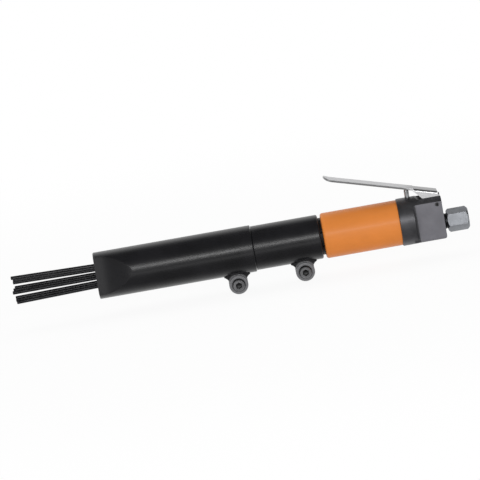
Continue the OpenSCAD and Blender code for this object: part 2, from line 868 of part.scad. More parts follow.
module throttle_bores() {
    rod_z(plunger_x, -body_od, plug_top_z, plug_d + 2 * press_fit);
    rod_z(plunger_x, plug_low_z, seat_z + seat_ring_h, chamber_d);
    rod_z(plunger_x, seat_z, gland_z, upper_d);
    rod_z(plunger_x, gland_z - overrun, gland_z + gland_h, gland_d);
    rod_z(plunger_x, seat_z, body_od, plunger_hole_d);
    translate([0, 0, outlet_z])
        rod_x(body_front_x - body_spigot_len - overrun, plunger_x, outlet_d);
}

module inlet_bores() {
    translate([0, 0, -barrel_z]) {
        rod_x(plunger_x, body_x, air_bore_d);
        rod_x(body_x - inlet_screw_len, body_x + overrun, neck_d + 2 * press_fit);
        rod_x(body_x - inlet_seal_room_t, body_x + overrun, inlet_seal_room_d);
    }
}

// The blade from the side: a straight strip whose front end curls up
module blade_outline() {
    curl = [for (i = [0:curl_steps])
        let (a = curl_angle * i / curl_steps)
        [sin(a), 1 - cos(a)]];
    under = [for (c = curl) [-lever_len - curl_r * c.x, lever_under + curl_r * c.y]];
    over = [for (c = curl) [-lever_len - (curl_r - lever_t) * c.x, lever_height + (curl_r - lever_t) * c.y]];
    polygon(concat([[0, lever_under]], under, [for (i = [curl_steps:-1:0]) over[i]], [[0, lever_height]]));
}

// The blade from above, with a round tip
module blade_plan() {
    tip = lever_len + curl_r * sin(curl_angle);
    translate([-tip + lever_w / 2, -lever_w / 2])
        square([tip, lever_w]);
    translate([-tip + lever_w / 2, 0])
        circle(d = lever_w);
}

module ear_outline() {
    top = lever_height - lever_t / 2;
    front = [-ear_len, top];
    back = [-lever_t / 2, top];
    low = touch(front, [0, 0], ear_r, 1);
    rear = touch(back, [0, 0], ear_r, -1);
    circle(r = ear_r);
    polygon([front, low, [0, 0], rear, back]);
}

module throttle_lever() {
    color("#b9bbbd")
    translate([pivot_x, 0, pivot_z])
        rotate([0, lever_rise, 0])
            difference() {
                union() {
                    intersection() {
                        plate_xz(lever_w)
                            blade_outline();
                        linear_extrude(lever_height + curl_r)
                            blade_plan();
                    }
                    for (side = [-1, 1])
                        translate([0, side * (lever_w - ear_t) / 2, 0])
                            plate_xz(ear_t)
                                ear_outline();
                }
                rod_y(0, 0, -lever_w, lever_w, pivot_pin_d + 2 * run_fit);
            }
}

module lever_pin() {
    half = block_w / 2 - small_edge;
    pin_d = pivot_pin_d - 2 * press_fit;
    color("#3c3c3f")
    difference() {
        rod_y(pivot_x, pivot_z, -half, half, pin_d);
        rod_y(pivot_x, pivot_z, -half - overrun, half + overrun, pin_d - 2 * pin_wall);
        translate([pivot_x - pin_slit_w / 2, -half - overrun, pivot_z - pin_d])
            cube([pin_slit_w, 2 * (half + overrun), pin_d]);
    }
}

module throttle_plunger() {
    dome_z = plunger_top_z - plunger_d / 2;
    color("#a9abae") {
        rod_z(plunger_x, poppet_top_z, dome_z, plunger_d);
        translate([plunger_x, 0, dome_z])
            sphere(d = plunger_d);
    }
}

module plunger_seal() {
    color("#17171a")
    translate([plunger_x, 0, gland_z + gland_h / 2])
        rotate_extrude()
            translate([(plunger_d + gland_d) / 4, 0])
                circle(d = gland_wire_d);
}

module throttle_seat() {
    color("#b08d3e")
    difference() {
        rod_z(plunger_x, seat_z, seat_z + seat_ring_h, chamber_d - 2 * press_fit);
        rod_z(plunger_x, seat_z - overrun, seat_z + seat_ring_h + overrun, seat_hole_d);
    }
}

module throttle_valve() {
    low_z = poppet_top_z - poppet_t;
    color("#b08d3e") {
        rod_z(plunger_x, low_z, poppet_top_z, poppet_d);
        rod_z(plunger_x, low_z - poppet_stem_len, low_z + poppet_t / 2, poppet_stem_d);
    }
}

module throttle_spring() {
    room = poppet_top_z - poppet_t - plug_top_z - 2 * face_gap;
    color("#9a9c9f")
    translate([plunger_x, 0, plug_top_z + face_gap])
        coil(throttle_coil_r, room, throttle_turns, throttle_wire_d);
}

module throttle_plug() {
    color("#38383b")
    difference() {
        rod_z(plunger_x, plug_low_z, plug_top_z, plug_d);
        translate([plunger_x, 0, plug_low_z - overrun])
            cylinder(d = plug_socket_af / cos(30), h = plug_socket_depth + overrun, $fn = 6);
    }
}

module inlet_bushing() {
    corner_d = hex_af / cos(30);
    turned_d = corner_d + 2 * hex_edge;
    inner_x = body_x - inlet_screw_len;
    color("#6f7478")
    translate([0, 0, -barrel_z])
    difference() {
        union() {
            intersection() {
                rotate([-hex_turn, 0, 0])
                    rotate([0, 90, 0])
                        translate([0, 0, hex_x])
                            cylinder(d = corner_d, h = hex_len, $fn = 6);
                lathe(bar(hex_x, 0, turned_d, 2 * hex_edge, hex_edge + hex_mouth_edge));
            }
            lathe(bar(inner_x, hex_x + overrun, neck_d, small_edge, 0));
        }
        rod_x(-inlet_depth, overrun, inlet_bore);
        rod_x(inner_x - overrun, -inlet_depth + overrun, inlet_way_d);
        rod_x(inner_x - overrun, inner_x + screen_t + face_gap, screen_d);
    }
}

module inlet_seal() {
    color("#17171a")
    translate([0, 0, -barrel_z])
        ring_x(body_x - inlet_seal_room_t / 2, (neck_d + inlet_seal_room_d) / 4, inlet_seal_wire_d);
}

module inlet_screen() {
    inner_x = body_x - inlet_screw_len;
    color("#a3a5a8")
    translate([0, 0, -barrel_z])
    difference() {
        rod_x(inner_x, inner_x + screen_t, screen_d - 2 * press_fit);
        rod_x(inner_x - overrun, inner_x + screen_t + overrun, screen_hole_d);
        for (i = [0:screen_ring_count - 1])
            rotate([360 * i / screen_ring_count, 0, 0])
                translate([0, 0, screen_ring_r])
                    rod_x(inner_x - overrun, inner_x + screen_t + overrun, screen_hole_d);
    }
}

// Every piece is drawn about the barrel's axis
module on_barrel() {
    translate([0, 0, barrel_z]) children();
}

on_barrel() front_tube();
on_barrel() intermediate_tube();
on_barrel() clamp_screws();
on_barrel() clamp_washers();
on_barrel() needle_holder();
on_barrel() spring_seat();
on_barrel() return_spring();
on_barrel() anvil();
on_barrel() anvil_bush();
on_barrel() anvil_buffer();
on_barrel() cylinder_barrel();  // cylinder
on_barrel() piston();
on_barrel() valve_seat();
on_barrel() valve_disc();
on_barrel() valve_cover();
on_barrel() valve_dowel();
on_barrel() cylinder_seal();
on_barrel() throttle_body();
on_barrel() throttle_lever();
on_barrel() lever_pin();
on_barrel() throttle_plunger();
on_barrel() plunger_seal();
on_barrel() throttle_seat();
on_barrel() throttle_valve();
on_barrel() throttle_spring();
on_barrel() throttle_plug();
on_barrel() inlet_bushing();
on_barrel() inlet_seal();
on_barrel() inlet_screen();
on_barrel() needle(0, 0);  // needle_01
on_barrel() needle(0, 1);  // needle_02
on_barrel() needle(0, 2);  // needle_03
on_barrel() needle(0, 3);  // needle_04
on_barrel() needle(1, 0);  // needle_05
on_barrel() needle(1, 1);  // needle_06
on_barrel() needle(1, 2);  // needle_07
on_barrel() needle(1, 3);  // needle_08
on_barrel() needle(2, 0);  // needle_09
on_barrel() needle(2, 1);  // needle_10
on_barrel() needle(2, 2);  // needle_11
on_barrel() needle(2, 3);  // needle_12
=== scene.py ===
"""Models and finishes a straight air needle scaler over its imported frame.

All sizes are in metres, in the frame's own axes: the needles point to -X and +Z is the lever's side.
"""

import json
import math

import bpy
from bpy.props import FloatProperty, FloatVectorProperty, IntProperty, PointerProperty
from mathutils import Matrix, Vector


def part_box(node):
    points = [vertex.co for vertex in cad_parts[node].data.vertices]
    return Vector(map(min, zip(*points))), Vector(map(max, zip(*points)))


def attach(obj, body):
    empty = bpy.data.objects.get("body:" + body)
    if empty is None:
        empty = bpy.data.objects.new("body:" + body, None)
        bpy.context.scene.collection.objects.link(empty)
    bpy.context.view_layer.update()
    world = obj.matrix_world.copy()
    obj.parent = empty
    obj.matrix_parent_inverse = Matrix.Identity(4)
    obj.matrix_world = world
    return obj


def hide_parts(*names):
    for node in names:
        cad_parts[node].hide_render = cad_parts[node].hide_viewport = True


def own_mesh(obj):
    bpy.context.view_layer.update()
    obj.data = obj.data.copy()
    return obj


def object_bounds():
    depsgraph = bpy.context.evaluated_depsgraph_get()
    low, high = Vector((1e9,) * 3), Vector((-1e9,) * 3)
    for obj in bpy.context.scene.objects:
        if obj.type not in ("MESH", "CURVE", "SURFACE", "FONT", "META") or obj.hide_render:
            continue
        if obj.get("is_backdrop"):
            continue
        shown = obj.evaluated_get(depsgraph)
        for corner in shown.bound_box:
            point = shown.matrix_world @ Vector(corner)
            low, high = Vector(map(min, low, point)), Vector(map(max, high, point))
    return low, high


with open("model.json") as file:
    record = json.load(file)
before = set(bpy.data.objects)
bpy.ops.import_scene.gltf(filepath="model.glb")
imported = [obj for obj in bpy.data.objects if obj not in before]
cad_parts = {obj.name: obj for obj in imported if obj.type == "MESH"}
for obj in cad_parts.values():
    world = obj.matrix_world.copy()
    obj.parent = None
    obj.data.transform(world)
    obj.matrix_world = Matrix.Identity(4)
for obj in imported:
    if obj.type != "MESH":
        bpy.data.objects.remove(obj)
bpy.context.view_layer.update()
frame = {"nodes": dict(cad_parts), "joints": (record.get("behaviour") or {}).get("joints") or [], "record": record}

bl_info = {
    "name": "Needle Scaler",
    "version": (1, 0, 0),
    "blender": (4, 5, 0),
    "location": "View3D > Sidebar > Scaler",
    "description": "Models and finishes an air needle scaler piece by piece",
    "category": "Object",
}


# Places that the frame gives

def middle(node):
    """Centre of a node's box."""
    low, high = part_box(node)
    return (low + high) / 2


def joint(name):
    """The record of one joint."""
    return next(j for j in frame["joints"] if j["name"] == name)


MOUTH, FRONT_REAR = (corner.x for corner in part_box("front_tube"))
SPIGOT_FRONT, MID_REAR = (corner.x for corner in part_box("intermediate_tube"))
CYL_NOSE, CYL_REAR = (corner.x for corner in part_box("cylinder"))
BODY_SPIGOT, BODY_REAR = (corner.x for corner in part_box("throttle_body"))
INLET_INNER, INLET_MOUTH = (corner.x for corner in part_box("inlet_bushing"))
FRONT_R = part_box("front_tube")[1].y
MID_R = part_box("intermediate_tube")[1].y
CYL_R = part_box("cylinder")[1].y
BODY_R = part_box("throttle_body")[1].y
HEX_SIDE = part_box("inlet_bushing")[1].y
BARREL = Vector((0, 0, middle("cylinder").z))
INLET = Vector((0, 0, middle("inlet_bushing").z))
PIVOT = Vector(joint("lever_press")["pos_m"])
PLUNGER = middle("throttle_plunger")
PLUG = middle("throttle_plug")
NEEDLES = sorted(name for name in frame["nodes"] if name.startswith("needle_") and name[-1].isdigit())

ORIGIN = Vector((0, 0, 0))

# Small lengths: a cut's overrun, the speck that a line starts from, what merges, and what keeps faces apart
OVERRUN = 0.001
SPECK = 0.0001
MERGE = 0.000002
SKIM = 0.00004

# A socket's drilled bottom as a share of its width, the lean of a washer's split, and an edge on the nose
DRILL_SHARE = 0.94
SPLIT_LEAN = math.radians(25)
CREASE = math.radians(9)

# Steps round a whole turn, each named for a piece of that size
TUBE_STEPS = 128
ROUND = 96
BOSS_STEPS = 72
HOLE_STEPS = 64
PIN_STEPS = 48
NEEDLE_STEPS = 40
SHANK_STEPS = 32
COIL_STEPS = 32
PORT_STEPS = 24
WIRE_SIDES = 12

# Steps along the arcs and blends of outlines
CROWN_STEPS = 32
BLEND_STEPS = 28
PAD_STEPS = 24
SLOT_STEPS = 16
CURL_STEPS = 14
FILLET_STEPS = 10
WEB_STEPS = 8
ARC = 6


# Sizes and colours that can be changed

def length(label, text, default):
    """A size in metres."""
    return FloatProperty(name=label, description=text, default=default, unit="LENGTH", precision=5)


def angle(label, text, degrees):
    """An angle, given in degrees."""
    return FloatProperty(name=label, description=text, default=math.radians(degrees), subtype="ANGLE")


def count(label, text, default):
    """A whole number."""
    return IntProperty(name=label, description=text, default=default, min=1)


def number(label, text, default):
    """A plain number."""
    return FloatProperty(name=label, description=text, default=default)


def colour(label, text, default):
    """A linear colour."""
    return FloatVectorProperty(name=label, description=text, default=default, subtype="COLOR", size=3)


class ScalerTubes(bpy.types.PropertyGroup):
    """Sizes of the front and intermediate tubes and of the cylinder."""

    wall: length("Wall", "Wall of the front tube", 0.003)
    rim: length("Rim", "Rounding of the tubes' ends", 0.001)
    nose_flat: length("Nose flat", "Length of the flats pressed into the nose", 0.003)
    nose_blend: length("Nose blend", "Length over which the flats run out into the round tube", 0.0315)
    nose_width: length("Nose width", "Width of the nose over its flats", 0.022475)
    nose_wall: length("Nose wall", "Wall between a flat and the nose's opening", 0.0018)
    nose_edge: length("Nose edge", "Rounding of the edge between a flat and the round tube", 0.0008)
    nose_turn: angle("Nose turn", "Angle of the flats about the tube", 8)
    seam: length("Seam", "Gap between the front and intermediate tubes", 0.0002)
    groove: length("Groove", "Gap between the intermediate tube and the cylinder's shoulder", 0.0024)
    groove_edge: length("Groove edge", "Rounding of the intermediate tube at the groove", 0.0014)
    mid_wall: length("Intermediate wall", "Wall of the intermediate tube", 0.0029)
    spigot_wall: length("Spigot wall", "Wall of the intermediate tube's spigot", 0.0032)
    fit: length("Fit", "Clearance between pieces that slide into each other", 0.0001)
    cyl_wall: length("Cylinder wall", "Wall of the cylinder's spigot", 0.0055)
    bush_wall: length("Bush wall", "Wall of the cylinder's spigot round the anvil's bush", 0.0035)
    cyl_edge: length("Cylinder edge", "Rounding of the cylinder's front shoulder", 0.002)
    chest_wall: length("Chest wall", "Wall of the cylinder round its valve chest", 0.004)
    chest_depth: length("Chest depth", "Depth of the valve chest", 0.026)
    port_d: length("Port", "Diameter of an exhaust port", 0.0016)
    ports: count("Ports", "Number of exhaust ports", 8)


class ScalerClamps(bpy.types.PropertyGroup):
    """Sizes of the clamp lugs, screws and washers."""

    lug_d: length("Lug round", "Diameter of a lug's round end", 0.016)
    lug_w: length("Lug width", "Width across a lug's two ears", 0.018)
    lug_foot: length("Lug foot", "Length of a lug's foot along the tube", 0.022)
    boss_rise: length("Boss rise", "Height that a round boss stands out of the lug's web", 0.002)
    boss_edge: length("Boss edge", "Rounding of a boss's edge", 0.0011)
    web_edge: length("Web edge", "Rounding of the web's edges", 0.001)
    slit: length("Slit", "Width of the slit between the ears", 0.0024)
    bore: length("Counterbore", "Diameter of the counterbore for a screw's head", 0.0106)
    sink: length("Sink", "Depth of the counterbore", 0.004)
    shank_d: length("Shank", "Diameter of a screw's shank", 0.006)
    head_d: length("Head", "Diameter of a screw's head", 0.010)
    head_h: length("Head height", "Height of a screw's head", 0.006)
    head_edge: length("Head edge", "Chamfer of a screw's head", 0.0005)
    socket: length("Socket", "Width across the flats of a screw's socket", 0.005)
    socket_depth: length("Socket depth", "Depth of a screw's socket", 0.003)
    flutes: count("Flutes", "Number of flutes round a screw's head", 40)
    flute_depth: length("Flute depth", "Depth of the flutes", 0.0002)
    washer_t: length("Washer", "Thickness of a lock washer", 0.0015)
    washer_gap: length("Washer gap", "Width of the lock washer's split", 0.0009)


class ScalerNeedles(bpy.types.PropertyGroup):
    """Sizes of the needles and of both springs."""

    needle_d: length("Needle", "Diameter of a needle", 0.003)
    head_d: length("Head", "Diameter of a needle's head", 0.0039)
    head_len: length("Head length", "Length of a needle's head", 0.0035)
    point: length("Point", "Chamfer round a needle's flat tip", 0.00035)
    needle_len: length("Length", "Length of a needle", 0.18)
    return_wire: length("Return wire", "Wire of the return spring", 0.002)
    return_turns: count("Return turns", "Turns of the return spring", 9)
    throttle_wire: length("Throttle wire", "Wire of the throttle's spring", 0.0009)
    throttle_turns: count("Throttle turns", "Turns of the throttle's spring", 5)


class ScalerThrottle(bpy.types.PropertyGroup):
    """Sizes of the throttle body, its lever and the air inlet."""

    band_len: length("Band", "Length of the round band", 0.0125)
    block_w: length("Block width", "Width of the rear block over its flats", 0.0265)
    block_step: length("Block step", "Step from the band down to the block's underside", 0.0022)
    block_edge: length("Block edge", "Rounding of the block's lower edges", 0.0024)
    block_rear: length("Block rear", "Rounding of the block's rear corners", 0.0026)
    shoulder: length("Shoulder", "Radius of the shoulder between band and block", 0.0025)
    slot_w: length("Slot", "Width of the slot for the lever's ears", 0.0156)
    ear_room: length("Ear room", "Room round the lever's ears", 0.001)
    plug_hole: length("Plug hole", "Clearance round the plug and the plunger", 0.00003)
    plunger_room: length("Plunger room", "Air room round the plunger above the valve", 0.0008)
    lever_w: length("Lever width", "Width of the lever", 0.015)
    lever_t: length("Lever thickness", "Thickness of the lever's sheet", 0.0016)
    lever_len: length("Lever length", "Pivot to the start of the lever's curled tip", 0.089)
    lever_rise: angle("Lever rise", "Angle of the lever to the barrel", 16.2)
    lever_press: angle("Lever press", "Travel of the lever", 12)
    lever_height: length("Lever height", "Height of the lever's upper face above its pivot", 0.00985)
    lever_edge: length("Lever edge", "Rounding of the lever's edges", 0.0003)
    ear_len: length("Ear length", "Length of the lever's ears", 0.0226)
    ear_r: length("Ear radius", "Radius of the ears round the pin", 0.0045)
    bend: length("Bend", "Outside radius of the folds between blade and ears", 0.0022)
    curl_r: length("Curl radius", "Radius of the lever's curled tip", 0.018)
    curl: angle("Curl", "Angle of the lever's curled tip", 24)
    pin_d: length("Pin", "Diameter of the lever's pin", 0.0036)
    pin_wall: length("Pin wall", "Wall of the lever's rolled pin", 0.0008)
    pin_slit: length("Pin slit", "Width of the slit along the pin", 0.0006)
    hex_len: length("Hexagon", "Length of the inlet's hexagon", 0.018)
    hex_turn: angle("Hexagon turn", "Angle that the hexagon is turned about the inlet", 12)
    hex_edge: length("Hexagon edge", "Depth of the chamfer on the hexagon's inner corners", 0.0014)
    hex_mouth: length("Hexagon mouth", "Depth of the chamfer on the hexagon's outer corners", 0.002)
    neck_d: length("Neck", "Diameter of the inlet's neck", 0.0136)
    inlet_bore: length("Inlet bore", "Minor diameter of the hose thread", 0.0114)
    inlet_depth: length("Inlet depth", "Depth of the hose thread", 0.014)
    inlet_way: length("Inlet way", "Bore behind the hose thread", 0.0084)
    pitch: length("Pitch", "Pitch of the threads", 0.00134)
    thread: length("Thread", "Depth of the threads", 0.00055)


class ScalerColours(bpy.types.PropertyGroup):
    """Base colours of the finishes."""

    tube: colour("Tubes", "Satin black of the tubes", (0.0075, 0.0073, 0.0088))
    # Painted light: the lugs are the tubes' black, and this lighter colour stands in for the light on them.
    lug: colour("Lugs", "Duller black of the clamp lugs", (0.19, 0.19, 0.198))
    body: colour("Throttle", "Black of the throttle body", (0.13, 0.13, 0.138))
    flat: colour("Throttle flats", "Milled flats of the throttle body", (0.165, 0.163, 0.182))
    orange: colour("Cylinder", "Orange enamel of the cylinder", (0.72, 0.225, 0.035))
    needle: colour("Needles", "Dark hardened steel", (0.035, 0.035, 0.038))
    # Painted light and shade on the lever: the zinc is brightened for the ears, and the blade's top is a darker
    # copy of it as painted shade.
    zinc: colour("Lever", "Zinc plate of the lever", (0.95, 0.95, 0.96))
    blade: colour("Blade", "Handled top of the lever's blade", (0.60, 0.60, 0.61))
    plated: colour("Plated", "Bright plated steel", (0.50, 0.51, 0.52))
    gunmetal: colour("Inlet", "Gunmetal of the inlet", (0.27, 0.28, 0.30))
    oxide: colour("Fasteners", "Black oxide of the screws", (0.16, 0.16, 0.165))
    ground: colour("Ground", "Ground hardened steel", (0.36, 0.37, 0.38))
    spring: colour("Springs", "Spring steel", (0.38, 0.39, 0.40))
    bronze: colour("Bronze", "Turned bronze", (0.55, 0.40, 0.17))
    rubber: colour("Rubber", "Black rubber", (0.016, 0.016, 0.017))


class ScalerStage(bpy.types.PropertyGroup):
    """Camera, floor and light."""

    field: length("Field", "Width of the picture at the tool", 0.400)
    distance: length("Distance", "Camera to the tool", 4.0)
    azimuth: angle("Azimuth", "Direction that the camera looks from, about Z", 0)
    elevation: angle("Elevation", "Height of the camera above the horizon", 12)
    roll: angle("Roll", "Turn of the camera about its own axis", 10.0)
    aim: FloatVectorProperty(name="Aim", description="Point at the picture's centre", unit="LENGTH",
                             default=(-0.191, 0.0, 0.0144), size=3)
    floor: length("Floor", "Width of the floor", 6.0)
    fill: number("Fill", "Strength of the light from all round", 0.55)
    bounce: number("Bounce", "Share of the floor's own light on the tool", 0.35)
    dim: number("Dim", "Brightness of the studio behind the camera in reflections", 0.06)
    card: number("Card", "Brightness of the card in front of the tool in reflections", 0.15)
    key: number("Key", "Power of the overhead soft light in watts", 5.0)
    strip: number("Strip", "Power of the strip light above the line of sight in watts", 7.5)


# Outlines

def rounded(corners, closed=True):
    """Points of a flat outline from corners (a, b) or (a, b, radius), round ones as arcs."""
    points = []
    for i, corner in enumerate(corners):
        here = Vector(corner[:2])
        inside = closed or 0 < i < len(corners) - 1
        radius = corner[2] if len(corner) > 2 and inside else 0
        if not radius:
            points.append(here)
            continue
        back = (Vector(corners[i - 1][:2]) - here).normalized()
        ahead = (Vector(corners[(i + 1) % len(corners)][:2]) - here).normalized()
        half = back.angle(ahead) / 2
        centre = here + (back + ahead).normalized() * radius / math.sin(half)
        first = here + back * radius / math.tan(half) - centre
        last = here + ahead * radius / math.tan(half) - centre
        start = math.atan2(first.y, first.x)
        sweep = math.remainder(math.atan2(last.y, last.x) - start, math.tau)
        points += arc(centre, radius, start, start + sweep)
    return points


def arc(centre, radius, start, end, steps=ARC):
    """Points of an arc in a flat outline."""
    turns = [start + (end - start) * k / steps for k in range(steps + 1)]
    return [Vector(centre) + radius * Vector((math.cos(t), math.sin(t))) for t in turns]


def tangent(point, centre, radius, side):
    """Angle about centre at which the line from point touches the circle, on one side."""
    away = Vector(point) - Vector(centre)
    return math.atan2(away.y, away.x) + side * math.acos(radius / away.length)


def ease(t):
    """Smooth step from 0 to 1."""
    return t * t * (3 - 2 * t)


# Modelling steps

def clear_selection():
    """Leaves nothing selected, in object mode."""
    if bpy.context.mode != "OBJECT":
        leave()
    bpy.ops.object.select_all(action="DESELECT")


def only(obj):
    """Makes obj the one selected and active object, in object mode."""
    clear_selection()
    obj.select_set(True)
    bpy.context.view_layer.objects.active = obj


def edit(obj, select="SELECT"):
    """Opens obj in edit mode with all of it, or none of it, selected."""
    only(obj)
    bpy.ops.object.mode_set(mode="EDIT")
    bpy.ops.mesh.select_mode(type="VERT")
    bpy.ops.mesh.select_all(action=select)


def leave():
    """Goes back to object mode."""
    bpy.ops.object.mode_set(mode="OBJECT")


def pick(obj, wanted):
    """Opens obj in edit mode with the points selected whose places are wanted."""
    edit(obj, "DESELECT")
    leave()
    for vertex in obj.data.vertices:
        vertex.select = wanted(vertex.co)
    bpy.ops.object.mode_set(mode="EDIT")


def modify(obj, kind, **settings):
    """Gives obj a modifier with its settings, and applies it."""
    only(obj)
    bpy.ops.object.modifier_add(type=kind)
    modifier = obj.modifiers[-1]
    for name, value in settings.items():
        setattr(modifier, name, value)
    bpy.ops.object.modifier_apply(modifier=modifier.name)
    return obj


def settle(obj):
    """Applies obj's place and turn to its mesh."""
    only(obj)
    bpy.ops.object.transform_apply(location=True, rotation=True, scale=True)
    return obj


def mend(obj, distance=MERGE):
    """Merges doubles and points all faces outwards."""
    edit(obj)
    bpy.ops.mesh.remove_doubles(threshold=distance)
    bpy.ops.mesh.normals_make_consistent(inside=False)
    leave()
    return obj


def chain(name, points):
    """A line of edges through points, drawn out of one vertex."""
    clear_selection()
    bpy.ops.mesh.primitive_plane_add(size=SPECK, location=points[0])
    obj = bpy.context.object
    obj.name = name
    edit(obj)
    bpy.ops.mesh.merge(type="CENTER")
    for start, end in zip(points, points[1:]):
        bpy.ops.mesh.extrude_vertices_move(TRANSFORM_OT_translate={"value": end - start})
    leave()
    return settle(obj)


AXES = {"X": Vector((1, 0, 0)), "Y": Vector((0, 1, 0)), "Z": Vector((0, 0, 1))}
SIDES = {"X": Vector((0, 0, 1)), "Y": Vector((0, 0, 1)), "Z": Vector((1, 0, 0))}


def turned(name, profile, centre=BARREL, axis="X", steps=ROUND):
    """A turned solid about an axis through centre, from a line of (place along the axis, radius)."""
    base = centre - AXES[axis] * centre.dot(AXES[axis])
    obj = chain(name, [base + AXES[axis] * a + SIDES[axis] * r for a, r in profile])
    edit(obj)
    bpy.ops.mesh.spin(steps=steps, angle=math.tau, center=base, axis=AXES[axis])
    leave()
    return mend(obj)


def turned_ring(name, profile, centre=BARREL, axis="X", steps=ROUND):
    """A turned hollow solid, from a closed line of (place along the axis, radius)."""
    return turned(name, [*profile, profile[0]], centre, axis, steps)


def bar(name, start, end, radius, centre=BARREL, axis="X", edge=0, steps=ROUND):
    """A turned round bar with its end edges rounded."""
    corners = [(start, 0), (start, radius, edge), (end, radius, edge), (end, 0)]
    return turned(name, rounded(corners, closed=False), centre, axis, steps)


PLANES = {"X": (AXES["Y"], AXES["Z"]), "Y": (AXES["X"], AXES["Z"]), "Z": (AXES["X"], AXES["Y"])}


def plate(name, outline, axis, low, high):
    """A flat outline drawn square to an axis, and pulled along it from low to high."""
    across, up = PLANES[axis]
    points = [AXES[axis] * low + across * p[0] + up * p[1] for p in outline]
    obj = chain(name, [*points, points[0]])
    edit(obj)
    bpy.ops.mesh.remove_doubles(threshold=MERGE)
    bpy.ops.mesh.select_all(action="SELECT")
    bpy.ops.mesh.edge_face_add()
    bpy.ops.mesh.extrude_region_move(TRANSFORM_OT_translate={"value": AXES[axis] * (high - low)})
    leave()
    return mend(obj)


def hexagon(name, corner_r, depth, centre, lie=(0, 0, 0)):
    """A hexagonal bar about its centre, along Z before it is laid over."""
    clear_selection()
    bpy.ops.mesh.primitive_cylinder_add(vertices=6, radius=corner_r, depth=depth, location=centre,
                                        rotation=lie)
    obj = settle(bpy.context.object)
    obj.name = name
    return obj


def turn(obj, amount, axis, centre=ORIGIN):
    """Turns obj about an axis through centre."""
    around = Matrix.Translation(centre) @ Matrix.Rotation(amount, 4, axis) @ Matrix.Translation(-centre)
    obj.matrix_world = around @ obj.matrix_world
    return settle(obj)


def shift(obj, move):
    """Moves obj."""
    obj.matrix_world = Matrix.Translation(move) @ obj.matrix_world
    return settle(obj)


def copy(obj, name):
    """A copy of obj with its own mesh."""
    only(obj)
    bpy.ops.object.duplicate(linked=False)
    twin = bpy.context.object
    twin.name = name
    return twin


def join(first, *others):
    """Joins objects into the first."""
    only(first)
    for other in others:
        other.select_set(True)
    bpy.ops.object.join()
    return first


def combine(obj, tool, operation):
    """Cuts, adds or crosses obj with a tool, which is used up."""
    modify(obj, "BOOLEAN", operation=operation, solver="EXACT", object=tool)
    bpy.data.objects.remove(tool, do_unlink=True)
    return obj


def cut(obj, tool):
    """Takes a tool's shape out of obj."""
    return combine(obj, tool, "DIFFERENCE")


def add(obj, tool):
    """Adds a tool's shape to obj."""
    return combine(obj, tool, "UNION")


def cross(obj, tool):
    """Keeps what obj and a tool share."""
    return combine(obj, tool, "INTERSECT")


def soften(obj, width, steps=3, limit=50):
    """Rounds the edges that are sharper than a limit in degrees."""
    modify(obj, "BEVEL", width=width, segments=steps, limit_method="ANGLE", angle_limit=math.radians(limit),
           use_clamp_overlap=False)
    return mend(obj)


def must_be_closed(obj):
    """Stops the script if obj's mesh has an open or shared edge."""
    edit(obj, "DESELECT")
    bpy.ops.mesh.select_non_manifold()
    leave()
    loose = sum(vertex.select for vertex in obj.data.vertices)
    if loose:
        raise RuntimeError(f"{obj.name} isn't closed at {loose} points")


def finish_piece(obj, node, body, slot, finish=None, smooth=32):
    """Shades a piece, gives it its slot's finish or another, and ties it to the frame."""
    settle(obj)
    must_be_closed(obj)
    only(obj)
    bpy.ops.object.shade_smooth_by_angle(angle=math.radians(smooth))
    modify(obj, "WEIGHTED_NORMAL", keep_sharp=True)
    obj.data.materials.clear()
    obj.data.materials.append(finish_of(finish or slot))
    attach(obj, body)
    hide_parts(node)
    return obj


# Finishes

WHITE = (1.0, 1.0, 1.0)
BARE_EDGE = (0.20, 0.20, 0.21, 1.0)
CHIPPED = (0.10, 0.095, 0.09, 1.0)
RUBBED = (0.16, 0.16, 0.165, 1.0)
DULLED = (0.30, 0.30, 0.31, 1.0)
WEAR_WIDTH = 0.0006
CHIP_WIDTH = 0.0007
GRIME_WIDTH = 0.0025
# Depths below a screw head's top at which the painted shade in its socket is full, and from which up it is clear
SOCKET_SHADE_FULL = 0.0016
SOCKET_SHADE_CLEAR = 0.0006


